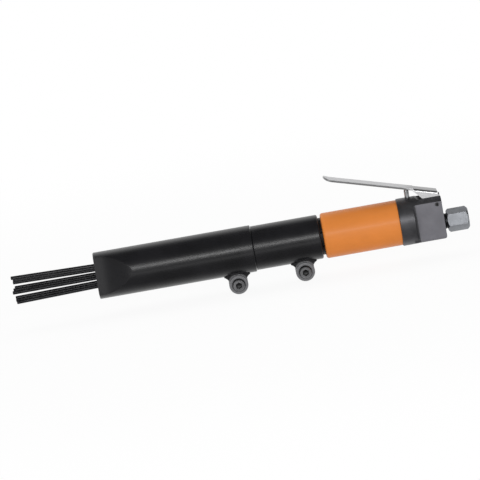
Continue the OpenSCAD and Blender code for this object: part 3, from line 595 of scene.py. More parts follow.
class Signal:
    """One output of a material's nodes, which can stand in a Python expression."""

    def __init__(self, tree, socket=None):
        self.tree = tree
        self.socket = socket

    def add(self, kind, inputs, out=0, **settings):
        """Adds a node of a kind, with its settings first and then its sockets' values or links."""
        node = self.tree.nodes.new(kind)
        for name, value in settings.items():
            setattr(node, name, value)
        for key, value in inputs.items():
            if isinstance(value, Signal):
                self.tree.links.new(value.socket, node.inputs[key])
            else:
                node.inputs[key].default_value = value
        return Signal(self.tree, node.outputs[out]) if node.outputs else None

    def maths(self, operation, first, second=0.0):
        """A Math node."""
        return self.add("ShaderNodeMath", {0: first, 1: second}, operation=operation)

    def __add__(self, other):
        return self.maths("ADD", self, other)

    def __radd__(self, other):
        return self.maths("ADD", other, self)

    def __sub__(self, other):
        return self.maths("SUBTRACT", self, other)

    def __rsub__(self, other):
        return self.maths("SUBTRACT", other, self)

    def __mul__(self, other):
        return self.maths("MULTIPLY", self, other)

    def __rmul__(self, other):
        return self.maths("MULTIPLY", other, self)

    def __abs__(self):
        return self.maths("ABSOLUTE", self)

    def step(self, low, high):
        """0 below low, 1 above high, smooth between."""
        sockets = {"Value": self, "From Min": low, "From Max": high}
        return self.add("ShaderNodeMapRange", sockets, interpolation_type="SMOOTHSTEP")

    def between(self, first, second):
        """A colour that goes from first to second as this goes from 0 to 1."""
        sockets = {0: self, 6: first, 7: second}
        return self.add("ShaderNodeMix", sockets, out=2, data_type="RGBA")

    def shades(self, rgb, dark, light):
        """Shares of a colour, from dark to light as this goes from 0 to 1."""
        return self.between(solid(scaled(rgb, dark)), solid(scaled(rgb, light)))

    def stretched(self, scale):
        """A place, scaled along each axis."""
        return self.add("ShaderNodeVectorMath", {0: self, 1: scale}, operation="MULTIPLY")

    def noise(self, scale, detail=3.0, rough=0.55):
        """Noise at this place, about 0.5."""
        sockets = {"Vector": self, "Scale": scale, "Detail": detail, "Roughness": rough}
        return self.add("ShaderNodeTexNoise", sockets, out="Fac")

    def axis(self, name):
        """One coordinate of this place."""
        return self.add("ShaderNodeSeparateXYZ", {"Vector": self}, out=name)

    def bump(self, strength, distance):
        """A surface normal bumped by this height."""
        sockets = {"Height": self, "Strength": strength, "Distance": distance}
        return self.add("ShaderNodeBump", sockets)


def solid(rgb):
    """A colour with its alpha."""
    return (*rgb, 1.0)


def scaled(rgb, share):
    """A colour, darkened or lightened."""
    return tuple(channel * share for channel in rgb)


def place_in(tree):
    """The place on a piece, or the direction in a world."""
    return Signal(tree).add("ShaderNodeTexCoord", {}, out="Object")


def ray(tree, kind):
    """1 for a camera, glossy or transmission ray, and 0 for others."""
    return Signal(tree).add("ShaderNodeLightPath", {}, out=f"Is {kind} Ray")


def new_material(name):
    """An empty material, its shader and the place on the piece."""
    material = bpy.data.materials.new(name)
    material.use_nodes = True
    tree = material.node_tree
    return material, tree.nodes["Principled BSDF"], place_in(tree)


def connect(shader, **sockets):
    """Sets or links the shader's sockets, named with underscores."""
    for name, value in sockets.items():
        socket = shader.inputs[name.replace("_", " ")]
        if isinstance(value, Signal):
            value.tree.links.new(value.socket, socket)
        else:
            socket.default_value = value


def near(place, stations, width):
    """1 close to any of the stations along an axis, 0 away from them."""
    total = 0.0
    for station in stations:
        total = total + (1.0 - abs(place - station).step(0.0, width))
    return total


def satin_black(name, rgb, lug, lugs, boss, edges, rough=0.26):
    """Black oxide on turned steel: faint turning lines, cloudy sheen, worn edges, and lugs painted lighter as
    painted light.
    """
    material, shader, place = new_material(name)
    lines = place.stretched((2600.0, 30.0, 30.0)).noise(1.0, 2.0)
    cloud = place.noise(38.0, 4.0)
    smear = place.stretched((60.0, 260.0, 260.0)).noise(1.0, 3.0)
    worn = near(place.axis("X"), edges, WEAR_WIDTH) * place.noise(700.0, 2.0).step(0.58, 0.72)
    # Painted light: round each lug the black gives way to the lighter lug colour, and the gloss drops.
    lug_painted_light_and_dull = 0.0
    for centre in lugs:
        x = place.axis("X") - centre.x
        z = place.axis("Z") - centre.z
        lug_painted_light_and_dull = lug_painted_light_and_dull + (1.0 - (x * x + z * z).step(0.95 * boss ** 2, 1.5 * boss ** 2))
    base = lug_painted_light_and_dull.between(cloud.step(0.3, 0.7).shades(rgb, 0.8, 1.4), solid(lug))
    bare = (worn * 0.35).between(base, BARE_EDGE)
    connect(shader, Base_Color=bare, Metallic=worn * 0.4,
            Roughness=rough - 0.06 + cloud * 0.1 + smear * 0.06 + lines * 0.04 + lug_painted_light_and_dull * 0.15,
            Normal=(lines * 0.6 + smear * 0.2).bump(0.03, 0.0004), Specular_IOR_Level=0.55)
    return material


def enamel(name, rgb, edges, shoulder):
    """Orange enamel with a faint peel, on a steel cylinder whose spigot is bare and dark."""
    material, shader, place = new_material(name)
    along = place.axis("X")
    peel = place.noise(1100.0, 2.0)
    cloud = place.noise(30.0, 4.0)
    painted = along.step(shoulder - 0.0004, shoulder + 0.0001)
    chips = near(along, edges, CHIP_WIDTH) * place.noise(620.0, 3.0).step(0.62, 0.66)
    grime = near(along, edges, GRIME_WIDTH) * place.noise(150.0, 3.0).step(0.45, 0.8)
    paint = cloud.step(0.25, 0.75).shades(rgb, 0.94, 1.05)
    dirty = (grime * 0.25).between(paint, solid(scaled(rgb, 0.5)))
    chipped = (chips * 0.8).between(dirty, CHIPPED)
    coat = painted * (1.0 - chips)
    steel = place.noise(400.0, 3.0).shades(WHITE, 0.006, 0.014)
    connect(shader, Base_Color=painted.between(steel, chipped), Metallic=0.3 * (1.0 - painted),
            Roughness=0.40 + cloud * 0.1 + chips * 0.2, Coat_Weight=coat * 0.12, Coat_Roughness=0.22,
            Normal=(peel * painted).bump(0.05, 0.0004), Specular_IOR_Level=0.35)
    return material


def cast_black(name, rgb, flat, start, top):
    """Satin black on a machined body, whose rear block is milled grey below its round top."""
    material, shader, place = new_material(name)
    grain = place.noise(1500.0, 3.0, 0.7)
    cloud = place.noise(60.0, 4.0)
    rub = place.noise(240.0, 4.0).step(0.58, 0.74)
    black = cloud.step(0.3, 0.7).shades(rgb, 0.8, 1.3)
    grey = cloud.step(0.3, 0.7).shades(flat, 0.88, 1.1)
    milled = place.axis("X").step(start - 0.0005, start) * (1.0 - place.axis("Z").step(top - 0.0003, top))
    base = milled.between(black, grey)
    connect(shader, Base_Color=(rub * 0.12).between(base, RUBBED),
            Metallic=0.85 * (1.0 - milled) + rub * 0.1,
            Roughness=0.36 + cloud * 0.1 + grain * 0.06 + milled * 0.04, Normal=grain.bump(0.05, 0.0003),
            Specular_IOR_Level=0.4)
    return material


def metal(name, rgb, lines, rough, metallic=1.0, spread=0.25, line_bump=0.04, dark=None):
    """Worked steel: lines left by the tool, cloudy colour and uneven gloss.

    Where dark names an axis and two places, the steel is darkened at the first and clear from the second on:
    painted shade in the screws' sockets, and a darker neck on the inlet.
    """
    material, shader, place = new_material(name)
    scratch = place.stretched(lines).noise(1.0, 3.0)
    cloud = place.noise(90.0, 4.0)
    stain = place.noise(340.0, 4.0).step(0.50, 0.80)
    base = cloud.step(0.25, 0.75).shades(rgb, 1.0 - spread, 1.0 + spread)
    if dark:
        axis, full, clear = dark
        base = place.axis(axis).step(full, clear).between(solid(scaled(rgb, 0.15)), base)
    connect(shader, Base_Color=(stain * 0.3).between(base, solid(scaled(rgb, 0.55))),
            Roughness=rough - 0.05 + scratch * 0.1 + stain * 0.1 + cloud * 0.05,
            Normal=scratch.bump(line_bump, 0.0004), Metallic=metallic)
    return material


def zinc_plate(name, rgb, blade, fold, half):
    """Zinc plate, brushed along the lever, with dulled patches: ears painted bright as painted light, and painted
    shade on the channel's top, the blade's top and the blade's edges.
    """
    material, shader, place = new_material(name)
    brushed = place.stretched((40.0, 1800.0, 1800.0)).noise(1.0, 3.0)
    cloud = place.noise(70.0, 4.0)
    ahead = 1.0 - (place.axis("X") + 0.004 * cloud).step(fold - 0.002, fold + 0.010)
    # Painted light and shade: the ears' outer faces keep the bright zinc, the channel between them is painted
    # shade, and the blade is painted darker with painted shade on its edges.
    side = abs(place.axis("Y")).step(half - 0.0006, half - 0.0001)
    rear = side.between(solid(scaled(rgb, 0.35)), solid(rgb))
    front = side.between(solid(blade), solid(scaled(blade, 0.42)))
    painted_light_and_shade_plate = ahead.between(rear, front)
    dulled_with_painted_light = (cloud.step(0.35, 0.75) * 0.14).between(painted_light_and_shade_plate, DULLED)
    connect(shader, Base_Color=dulled_with_painted_light, Metallic=0.9, Roughness=0.30 + brushed * 0.1 + ahead * 0.06,
            Normal=brushed.bump(0.05, 0.0003))
    return material


def rubber(name, rgb):
    """Moulded black rubber with a dusty bloom."""
    material, shader, place = new_material(name)
    bloom = place.noise(220.0, 4.0)
    connect(shader, Base_Color=bloom.step(0.4, 0.8).shades(rgb, 1.0, 2.4), Roughness=0.62 + bloom * 0.2,
            Normal=place.noise(2200.0, 2.0).bump(0.08, 0.0002))
    return material


ALONG_X = (30.0, 1400.0, 1400.0)
ACROSS_X = (2400.0, 40.0, 40.0)
ALONG_Y = (1500.0, 40.0, 1500.0)
ALONG_Z = (1600.0, 1600.0, 60.0)


def make_finishes(colours, tubes, clamps, throttle):
    """One material for each of the record's finishes."""
    shoulder = MID_REAR + tubes.groove
    block = CYL_REAR + throttle.band_len + throttle.shoulder
    flat_top = BARREL.z + math.sqrt(BODY_R ** 2 - (throttle.block_w / 2) ** 2)
    fold = PIVOT.x - throttle.ear_len
    neck = INLET_MOUTH - throttle.hex_len
    screw_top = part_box("clamp_screws")[0].y
    return {
        "black_tube": satin_black("satin_black_tube", colours.tube, colours.lug, screw_places(clamps),
                                  clamps.lug_d / 2, (MOUTH, MID_REAR)),
        "orange_paint": enamel("orange_enamel", colours.orange, (shoulder, CYL_REAR), shoulder),
        "black_body": cast_black("cast_black", colours.body, colours.flat, block, flat_top),
        "needle_steel": metal("needle_steel", colours.needle, ALONG_X, 0.36, 0.85, 0.3),
        "lever_steel": zinc_plate("zinc_plate", colours.zinc, colours.blade, fold, throttle.lever_w / 2),
        "plated_steel": metal("bright_plate", colours.plated, ALONG_Z, 0.26, 1.0, 0.12),
        "hex_steel": metal("gunmetal", colours.gunmetal, ACROSS_X, 0.36, 0.9, 0.18,
                           dark=("X", neck - SKIM, neck)),
        "dark_steel": metal("black_oxide", colours.oxide, ALONG_Y, 0.34, 0.8, 0.25),
        # The screws: a lighter copy of the black oxide as painted light, with painted shade deep in their sockets.
        "socket_screw_painted_light_and_shade": metal("socket_oxide_painted_light_and_shade", scaled(colours.oxide, 1.6), ALONG_Y, 0.38, 0.7, 0.25,
                              dark=("Y", screw_top + SOCKET_SHADE_FULL, screw_top + SOCKET_SHADE_CLEAR)),
        "hardened_steel": metal("ground_steel", colours.ground, ACROSS_X, 0.24),
        "spring_steel": metal("spring_steel", colours.spring, ALONG_X, 0.28),
        "bronze": metal("turned_bronze", colours.bronze, ACROSS_X, 0.28, 1.0, 0.15),
        "black_rubber": rubber("black_rubber", colours.rubber),
    }


FINISHES = {}


def finish_of(slot):
    """The material of one of the record's finishes."""
    if not FINISHES:
        scene = bpy.context.scene
        FINISHES.update(make_finishes(scene.scaler_colours, scene.scaler_tubes, scene.scaler_clamps,
                                      scene.scaler_throttle))
    return FINISHES[slot]


# Clamps

def screw_places(clamps):
    """Where the front and rear clamp screws' axes cross the middle plane."""
    low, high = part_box("clamp_screws")
    r = clamps.head_d / 2
    return Vector((low.x + r, 0, low.z + r)), Vector((high.x - r, 0, high.z - r))


def add_lug(tube, place, radius, end, clamps):
    """Adds a split clamp lug under a tube: a web with hollow flanks, a round boss, a slit and holes."""
    half = clamps.lug_w / 2
    foot_z = BARREL.z - radius
    add(tube, lug_web(place, foot_z, foot_z + radius / 3, clamps))
    add(tube, bar("boss", -half, half, clamps.lug_d / 2, place, "Y", clamps.boss_edge, BOSS_STEPS))
    start = place.x - clamps.lug_foot / 2
    slit_end = start + clamps.slit / 2
    slit = [(slit_end, foot_z - clamps.lug_foot), (end + OVERRUN, foot_z - clamps.lug_foot),
            (end + OVERRUN, BARREL.z), (slit_end, BARREL.z)]
    cut(tube, plate("slit", slit, "Y", -clamps.slit / 2, clamps.slit / 2))
    relief = Vector((start, 0, 0))
    cut(tube, bar("relief", foot_z - clamps.lug_foot, BARREL.z, clamps.slit, relief, "Z", steps=SHANK_STEPS))
    seat = -half + clamps.sink
    slope = clamps.head_edge + OVERRUN
    hole = [(-half - OVERRUN, 0), (-half - OVERRUN, clamps.bore / 2 + slope),
            (-half + clamps.head_edge, clamps.bore / 2), (seat, clamps.bore / 2), (seat, clamps.shank_d / 2),
            (half + OVERRUN, clamps.shank_d / 2), (half + OVERRUN, 0)]
    cut(tube, turned("screw_hole", hole, place, "Y", HOLE_STEPS))


def lug_web(place, foot_z, top, clamps):
    """The web between tube and boss, whose flanks curve in from the foot to the boss."""
    foot = clamps.lug_foot / 2
    r = clamps.lug_d / 2 - clamps.boss_edge
    flank = [Vector((foot, top)), Vector((foot, foot_z))]
    for k in range(WEB_STEPS):
        t = (k + 1) / WEB_STEPS
        x = (1 - t) ** 2 * foot + 2 * t * (1 - t) * r + t * t * r
        z = (1 - t) ** 2 * foot_z + 2 * t * (1 - t) * (foot_z - foot / 6) + t * t * place.z
        flank.append(Vector((x, z)))
    outline = [Vector((place.x + p.x, p.y)) for p in flank]
    outline += [Vector((place.x - p.x, p.y)) for p in reversed(flank)]
    half = clamps.lug_w / 2 - clamps.boss_rise
    return soften(plate("web", outline, "Y", -half, half), clamps.web_edge, limit=70)


def socket_r(clamps):
    """A socket's radius to its corners."""
    return clamps.socket / 2 / math.cos(math.pi / 6)


def on_both_lugs(first, name, clamps):
    """Copies a piece that lies about the origin to both lugs, as one piece with a name."""
    second = copy(first, "rear")
    front, rear = screw_places(clamps)
    both = join(shift(first, front), shift(second, rear))
    both.name = name
    return both


# Operators

class ScalerOperator:
    """What all the operators share."""

    bl_options = {"REGISTER", "UNDO"}

    def execute(self, context):
        self.make(context.scene)
        return {"FINISHED"}


class SCALER_OT_front_tube(ScalerOperator, bpy.types.Operator):
    """Make the front tube with its flattened nose and clamp lug"""

    bl_idname = "scaler.front_tube"
    bl_label = "Front Tube"

    def make(self, scene):
        tubes = scene.scaler_tubes
        clamps = scene.scaler_clamps
        shoulder = MOUTH + tubes.nose_flat + tubes.nose_blend
        tube = bar("finished_front_tube", MOUTH, FRONT_REAR, FRONT_R, edge=tubes.rim, steps=TUBE_STEPS)
        cross(tube, self.nose_form(tubes))
        bore = FRONT_R - tubes.wall
        cut(tube, turned("bore", [(shoulder, 0), (shoulder, bore), (FRONT_REAR - tubes.rim, bore),
                                  (FRONT_REAR, bore + tubes.rim), (FRONT_REAR + OVERRUN, bore + tubes.rim),
                                  (FRONT_REAR + OVERRUN, 0)]))
        cut(tube, self.nose_opening(tubes, shoulder))
        add_lug(tube, screw_places(clamps)[0], FRONT_R, FRONT_REAR, clamps)
        self.ease_nose(tube, tubes, shoulder)
        finish_piece(tube, "front_tube", "housing", "black_tube")

    def nose_form(self, tubes):
        """The nose from above: flats that run out into the round tube in an S."""
        half = tubes.nose_width / 2
        end = FRONT_R + tubes.rim / 3
        flat = MOUTH + tubes.nose_flat
        side = [(MOUTH - OVERRUN, half)]
        for k in range(BLEND_STEPS + 1):
            t = k / BLEND_STEPS
            side.append((flat + tubes.nose_blend * t, half + (end - half) * ease(t)))
        side.append((FRONT_REAR + OVERRUN, end))
        outline = side + [(x, -y) for x, y in reversed(side)]
        form = plate("nose_form", outline, "Z", BARREL.z - 2 * FRONT_R, BARREL.z + 2 * FRONT_R)
        return turn(form, -tubes.nose_turn, "X", BARREL)

    def nose_opening(self, tubes, shoulder):
        """The opening through the nose, round above and below and flat at the sides."""
        half = tubes.nose_width / 2 - tubes.nose_wall
        radius = FRONT_R - tubes.wall - 2 * SKIM
        opening = bar("nose_opening", MOUTH - OVERRUN, shoulder + OVERRUN, radius)
        for side in (-1, 1):
            edit(opening)
            bpy.ops.mesh.bisect(plane_co=(0, side * half, 0), plane_no=(0, side, 0), use_fill=True,
                                clear_outer=True)
            leave()
        return turn(mend(opening), -tubes.nose_turn, "X", BARREL)

    def ease_nose(self, tube, tubes, shoulder):
        """Rounds the edges where the flats meet the round tube."""
        def on_edge(place):
            reach = math.hypot(place.y, place.z - BARREL.z)
            return place.x < shoulder and abs(reach - FRONT_R) < SKIM

        pick(tube, on_edge)
        bpy.ops.mesh.remove_doubles(threshold=tubes.nose_edge / 4)
        bpy.ops.mesh.select_mode(type="EDGE")
        bpy.ops.mesh.select_all(action="DESELECT")
        bpy.ops.mesh.edges_select_sharp(sharpness=CREASE)
        leave()
        for edge in tube.data.edges:
            edge.select = edge.select and all(on_edge(tube.data.vertices[i].co) for i in edge.vertices)
        bpy.ops.object.mode_set(mode="EDIT")
        bpy.ops.mesh.bevel(offset=tubes.nose_edge, segments=3, affect="EDGES", clamp_overlap=True)
        leave()
        mend(tube)


class SCALER_OT_intermediate_tube(ScalerOperator, bpy.types.Operator):
    """Make the intermediate tube with its spigot and clamp lug"""

    bl_idname = "scaler.intermediate_tube"
    bl_label = "Intermediate Tube"

    def make(self, scene):
        tubes = scene.scaler_tubes
        clamps = scene.scaler_clamps
        front = FRONT_REAR + tubes.seam
        spigot_r = FRONT_R - tubes.wall - tubes.fit
        anvil_r = spigot_r - tubes.spigot_wall
        bore = MID_R - tubes.mid_wall
        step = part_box("anvil_bush")[0].x - tubes.fit
        profile = rounded([
            (SPIGOT_FRONT, anvil_r), (SPIGOT_FRONT, spigot_r, tubes.rim / 2), (front, spigot_r),
            (front, MID_R, tubes.rim / 2), (MID_REAR, MID_R, tubes.groove_edge),
            (MID_REAR, bore, tubes.rim / 3), (step, bore), (step, anvil_r)])
        tube = turned_ring("finished_intermediate_tube", profile, steps=TUBE_STEPS)
        add_lug(tube, screw_places(clamps)[1], MID_R, MID_REAR, clamps)
        finish_piece(tube, "intermediate_tube", "housing", "black_tube")


class SCALER_OT_clamp_screws(ScalerOperator, bpy.types.Operator):
    """Make the two fluted socket-head clamp screws"""

    bl_idname = "scaler.clamp_screws"
    bl_label = "Clamp Screws"

    def make(self, scene):
        clamps = scene.scaler_clamps
        low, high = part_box("clamp_screws")
        screw = self.screw(clamps, low.y, high.y, scene.scaler_throttle)
        screws = on_both_lugs(screw, "finished_clamp_screws", clamps)
        finish_piece(screws, "clamp_screws", "housing", "dark_steel", "socket_screw_painted_light_and_shade", smooth=25)

    def screw(self, clamps, top, end, threads):
        """A screw along Y, with its head's top and its end at these places."""
        r = clamps.head_d / 2
        clear_selection()
        bpy.ops.mesh.primitive_circle_add(vertices=4 * clamps.flutes, radius=r, fill_type="NGON",
                                          location=(0, top + clamps.head_h, 0), rotation=(math.pi / 2, 0, 0))
        head = settle(bpy.context.object)
        head.name = "screw"
        self.sink_flutes(head, r, clamps)
        edit(head)
        bpy.ops.mesh.extrude_region_move(
            TRANSFORM_OT_translate={"value": (0, clamps.head_edge - clamps.head_h, 0)})
        bpy.ops.mesh.extrude_region_move(TRANSFORM_OT_translate={"value": (0, -clamps.head_edge, 0)})
        share = 1 - clamps.head_edge / r
        bpy.ops.transform.resize(value=(share, 1, share), center_override=(0, top, 0))
        leave()
        mend(head)
        add(head, self.shank(clamps, top + clamps.head_h, end, threads))
        return cut(head, self.socket(clamps, top))

    def sink_flutes(self, head, r, clamps):
        """Draws every second pair of points round the head inwards."""
        def in_flute(place):
            turns = math.atan2(place.z, place.x) / math.tau * clamps.flutes
            return (turns + 0.125) % 1 < 0.5

        pick(head, in_flute)
        share = 1 - clamps.flute_depth / r
        bpy.ops.transform.resize(value=(share, 1, share), center_override=(0, 0, 0))
        leave()

    def shank(self, clamps, start, end, threads):
        """The threaded shank, with its last turns as ridges."""
        outer = clamps.shank_d / 2
        root = outer - threads.thread
        ridges = int((end - start) / 2 / threads.pitch)
        line = [(start - OVERRUN, 0), (start - OVERRUN, outer)]
        place = end - threads.pitch * ridges
        for k in range(ridges):
            low = place + threads.pitch * k
            line += [(low, outer), (low + threads.pitch / 2, root), (low + threads.pitch * 0.75, outer)]
        line += [(end - threads.thread, outer), (end, root), (end, 0)]
        return turned("shank", line, ORIGIN, "Y", SHANK_STEPS)

    def socket(self, clamps, top):
        """The hexagonal socket with its drilled bottom."""
        middle_y = top + (clamps.socket_depth - OVERRUN) / 2
        tool = hexagon("socket", socket_r(clamps), clamps.socket_depth + OVERRUN, (0, middle_y, 0),
                       (math.pi / 2, 0, 0))
        drill = clamps.socket / 2 * DRILL_SHARE
        deep = top + clamps.socket_depth
        point = [(deep - OVERRUN, 0), (deep - OVERRUN, drill), (deep, drill), (deep + drill / 2, 0)]
        return add(tool, turned("drill", point, ORIGIN, "Y", PIN_STEPS))


class SCALER_OT_clamp_washers(ScalerOperator, bpy.types.Operator):
    """Make the split lock washers under the clamp screws"""

    bl_idname = "scaler.clamp_washers"
    bl_label = "Clamp Washers"

    def make(self, scene):
        clamps = scene.scaler_clamps
        low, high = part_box("clamp_washers")
        inner = clamps.shank_d / 2 + 1.5 * scene.scaler_tubes.fit
        outer = clamps.head_d / 2
        edge = clamps.washer_t / 6
        profile = rounded([(low.y, inner, edge), (low.y, outer, edge), (high.y, outer, edge),
                           (high.y, inner, edge)])
        washer = turned_ring("washer", profile, ORIGIN, "Y", HOLE_STEPS)
        gap = clamps.washer_gap / 2
        split = [(-gap, 0), (gap, 0), (gap, 2 * outer), (-gap, 2 * outer)]
        tool = plate("split", split, "Y", low.y - clamps.washer_t, high.y + clamps.washer_t)
        cut(washer, turn(tool, SPLIT_LEAN, "Z", Vector((0, (low.y + high.y) / 2, 0))))
        washers = on_both_lugs(washer, "finished_clamp_washers", clamps)
        finish_piece(washers, "clamp_washers", "housing", "dark_steel")


class SCALER_OT_needles(ScalerOperator, bpy.types.Operator):
    """Make the twelve needles, each along its own leaning axis"""

    bl_idname = "scaler.needles"
    bl_label = "Needles"

    def make(self, scene):
        needles = scene.scaler_needles
        pattern = self.needle(needles)
        for node in NEEDLES:
            axis = Vector(joint(node + "_slide")["axis"])
            place = middle(node)
            lean = math.asin(-axis.z)
            spare = (needles.head_d - needles.needle_d) / 4
            place.z += math.copysign(spare, lean) if abs(lean) > MERGE else 0
            needle = turn(copy(pattern, "finished_" + node), lean, "Y")
            finish_piece(shift(needle, place), node, node, "needle_steel")
        bpy.data.objects.remove(pattern, do_unlink=True)

    def needle(self, needles):
        """A needle along X about the origin, with a drawn shaft, a worn flat tip and a headed end."""
        r = needles.needle_d / 2
        head = needles.head_d / 2
        tip = -needles.needle_len / 2
        end = needles.needle_len / 2
        neck = end - needles.head_len
        edge = needles.point
        line = rounded([(tip, 0), (tip, r - edge, edge / 2), (tip + edge, r, edge / 2), (neck, r),
                        (neck, head, edge / 2), (end, head, edge), (end, 0)], closed=False)
        return turned("needle_pattern", line, ORIGIN, "X", NEEDLE_STEPS)


class SCALER_OT_springs(ScalerOperator, bpy.types.Operator):
    """Make the return spring and the throttle's spring as coils"""

    bl_idname = "scaler.springs"
    bl_label = "Springs"

    def make(self, scene):
        needles = scene.scaler_needles
        self.spring("return_spring", "holder_slide", "X", BARREL, needles.return_wire, needles.return_turns)
        self.spring("throttle_spring", "plunger_slide", "Z", PLUNGER, needles.throttle_wire,
                    needles.throttle_turns)

    def spring(self, node, slide, axis, centre, wire, turns):
        """A spring along an axis through centre, over its node's length; its slide's travel is read but not used.
        """
        low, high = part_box(node)
        along = AXES[axis]
        start = Vector((centre.x, 0, centre.z))
        start += along * (low - start).dot(along)
        reach = (high - low).dot(along)
        spring = self.coil("finished_" + node, axis, start, reach, (high.y - low.y - wire) / 2, wire, turns)
        finish_piece(spring, node, "housing", "spring_steel")
        travel = joint(slide)["range_m"][1]
        1 - travel / reach
        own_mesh(spring)

    def coil(self, name, axis, start, reach, radius, wire, turns):
        """A coil of round wire from start along an axis, with its ends closed."""
        clear_selection()
        bpy.ops.mesh.primitive_circle_add(vertices=WIRE_SIDES, radius=wire / 2, location=start,
                                          rotation=(math.pi / 2, 0, 0))
        coil = bpy.context.object
        coil.name = name
        edit(coil)
        bpy.ops.transform.translate(value=AXES[axis] * wire / 2 + SIDES[axis] * radius)
        leave()
        bpy.ops.object.transform_apply(location=False, rotation=True, scale=True)
        modify(coil, "SCREW", axis=axis, screw_offset=(reach - wire) / turns, iterations=turns,
               steps=COIL_STEPS, render_steps=COIL_STEPS)
        settle(coil)
        edit(coil)
        bpy.ops.mesh.remove_doubles(threshold=MERGE)
        bpy.ops.mesh.select_all(action="SELECT")
        bpy.ops.mesh.fill_holes(sides=0)
        leave()
        return mend(coil)


class SCALER_OT_cylinder(ScalerOperator, bpy.types.Operator):
    """Make the painted cylinder with its spigot and exhaust ports"""

    bl_idname = "scaler.cylinder"
    bl_label = "Cylinder"

    def make(self, scene):
        tubes = scene.scaler_tubes
        shoulder = MID_REAR + tubes.groove
        spigot_r = MID_R - tubes.mid_wall - tubes.fit
        bore = spigot_r - tubes.cyl_wall
        chest_r = CYL_R - tubes.chest_wall
        chest = CYL_REAR - tubes.chest_depth
        bush_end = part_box("anvil_bush")[1].x
        bush_r = spigot_r - tubes.bush_wall
        profile = rounded([
            (CYL_NOSE, bush_r), (CYL_NOSE, spigot_r, tubes.rim / 2), (shoulder, spigot_r, tubes.rim / 2),
            (shoulder, CYL_R, tubes.cyl_edge), (CYL_REAR, CYL_R, tubes.rim / 2),
            (CYL_REAR, chest_r, tubes.rim / 4), (chest, chest_r), (chest, bore), (bush_end, bore),
            (bush_end, bush_r)])
        cylinder = turned_ring("finished_cylinder", profile, steps=TUBE_STEPS)
        for k in range(tubes.ports):
            port = bar("port", BARREL.z + bore, BARREL.z + CYL_R, tubes.port_d / 2,
                       Vector((shoulder - tubes.groove / 2, 0, 0)), "Z", steps=PORT_STEPS)
            cut(cylinder, turn(port, math.tau * (k + 0.5) / tubes.ports, "X", BARREL))
        finish_piece(cylinder, "cylinder", "housing", "orange_paint")


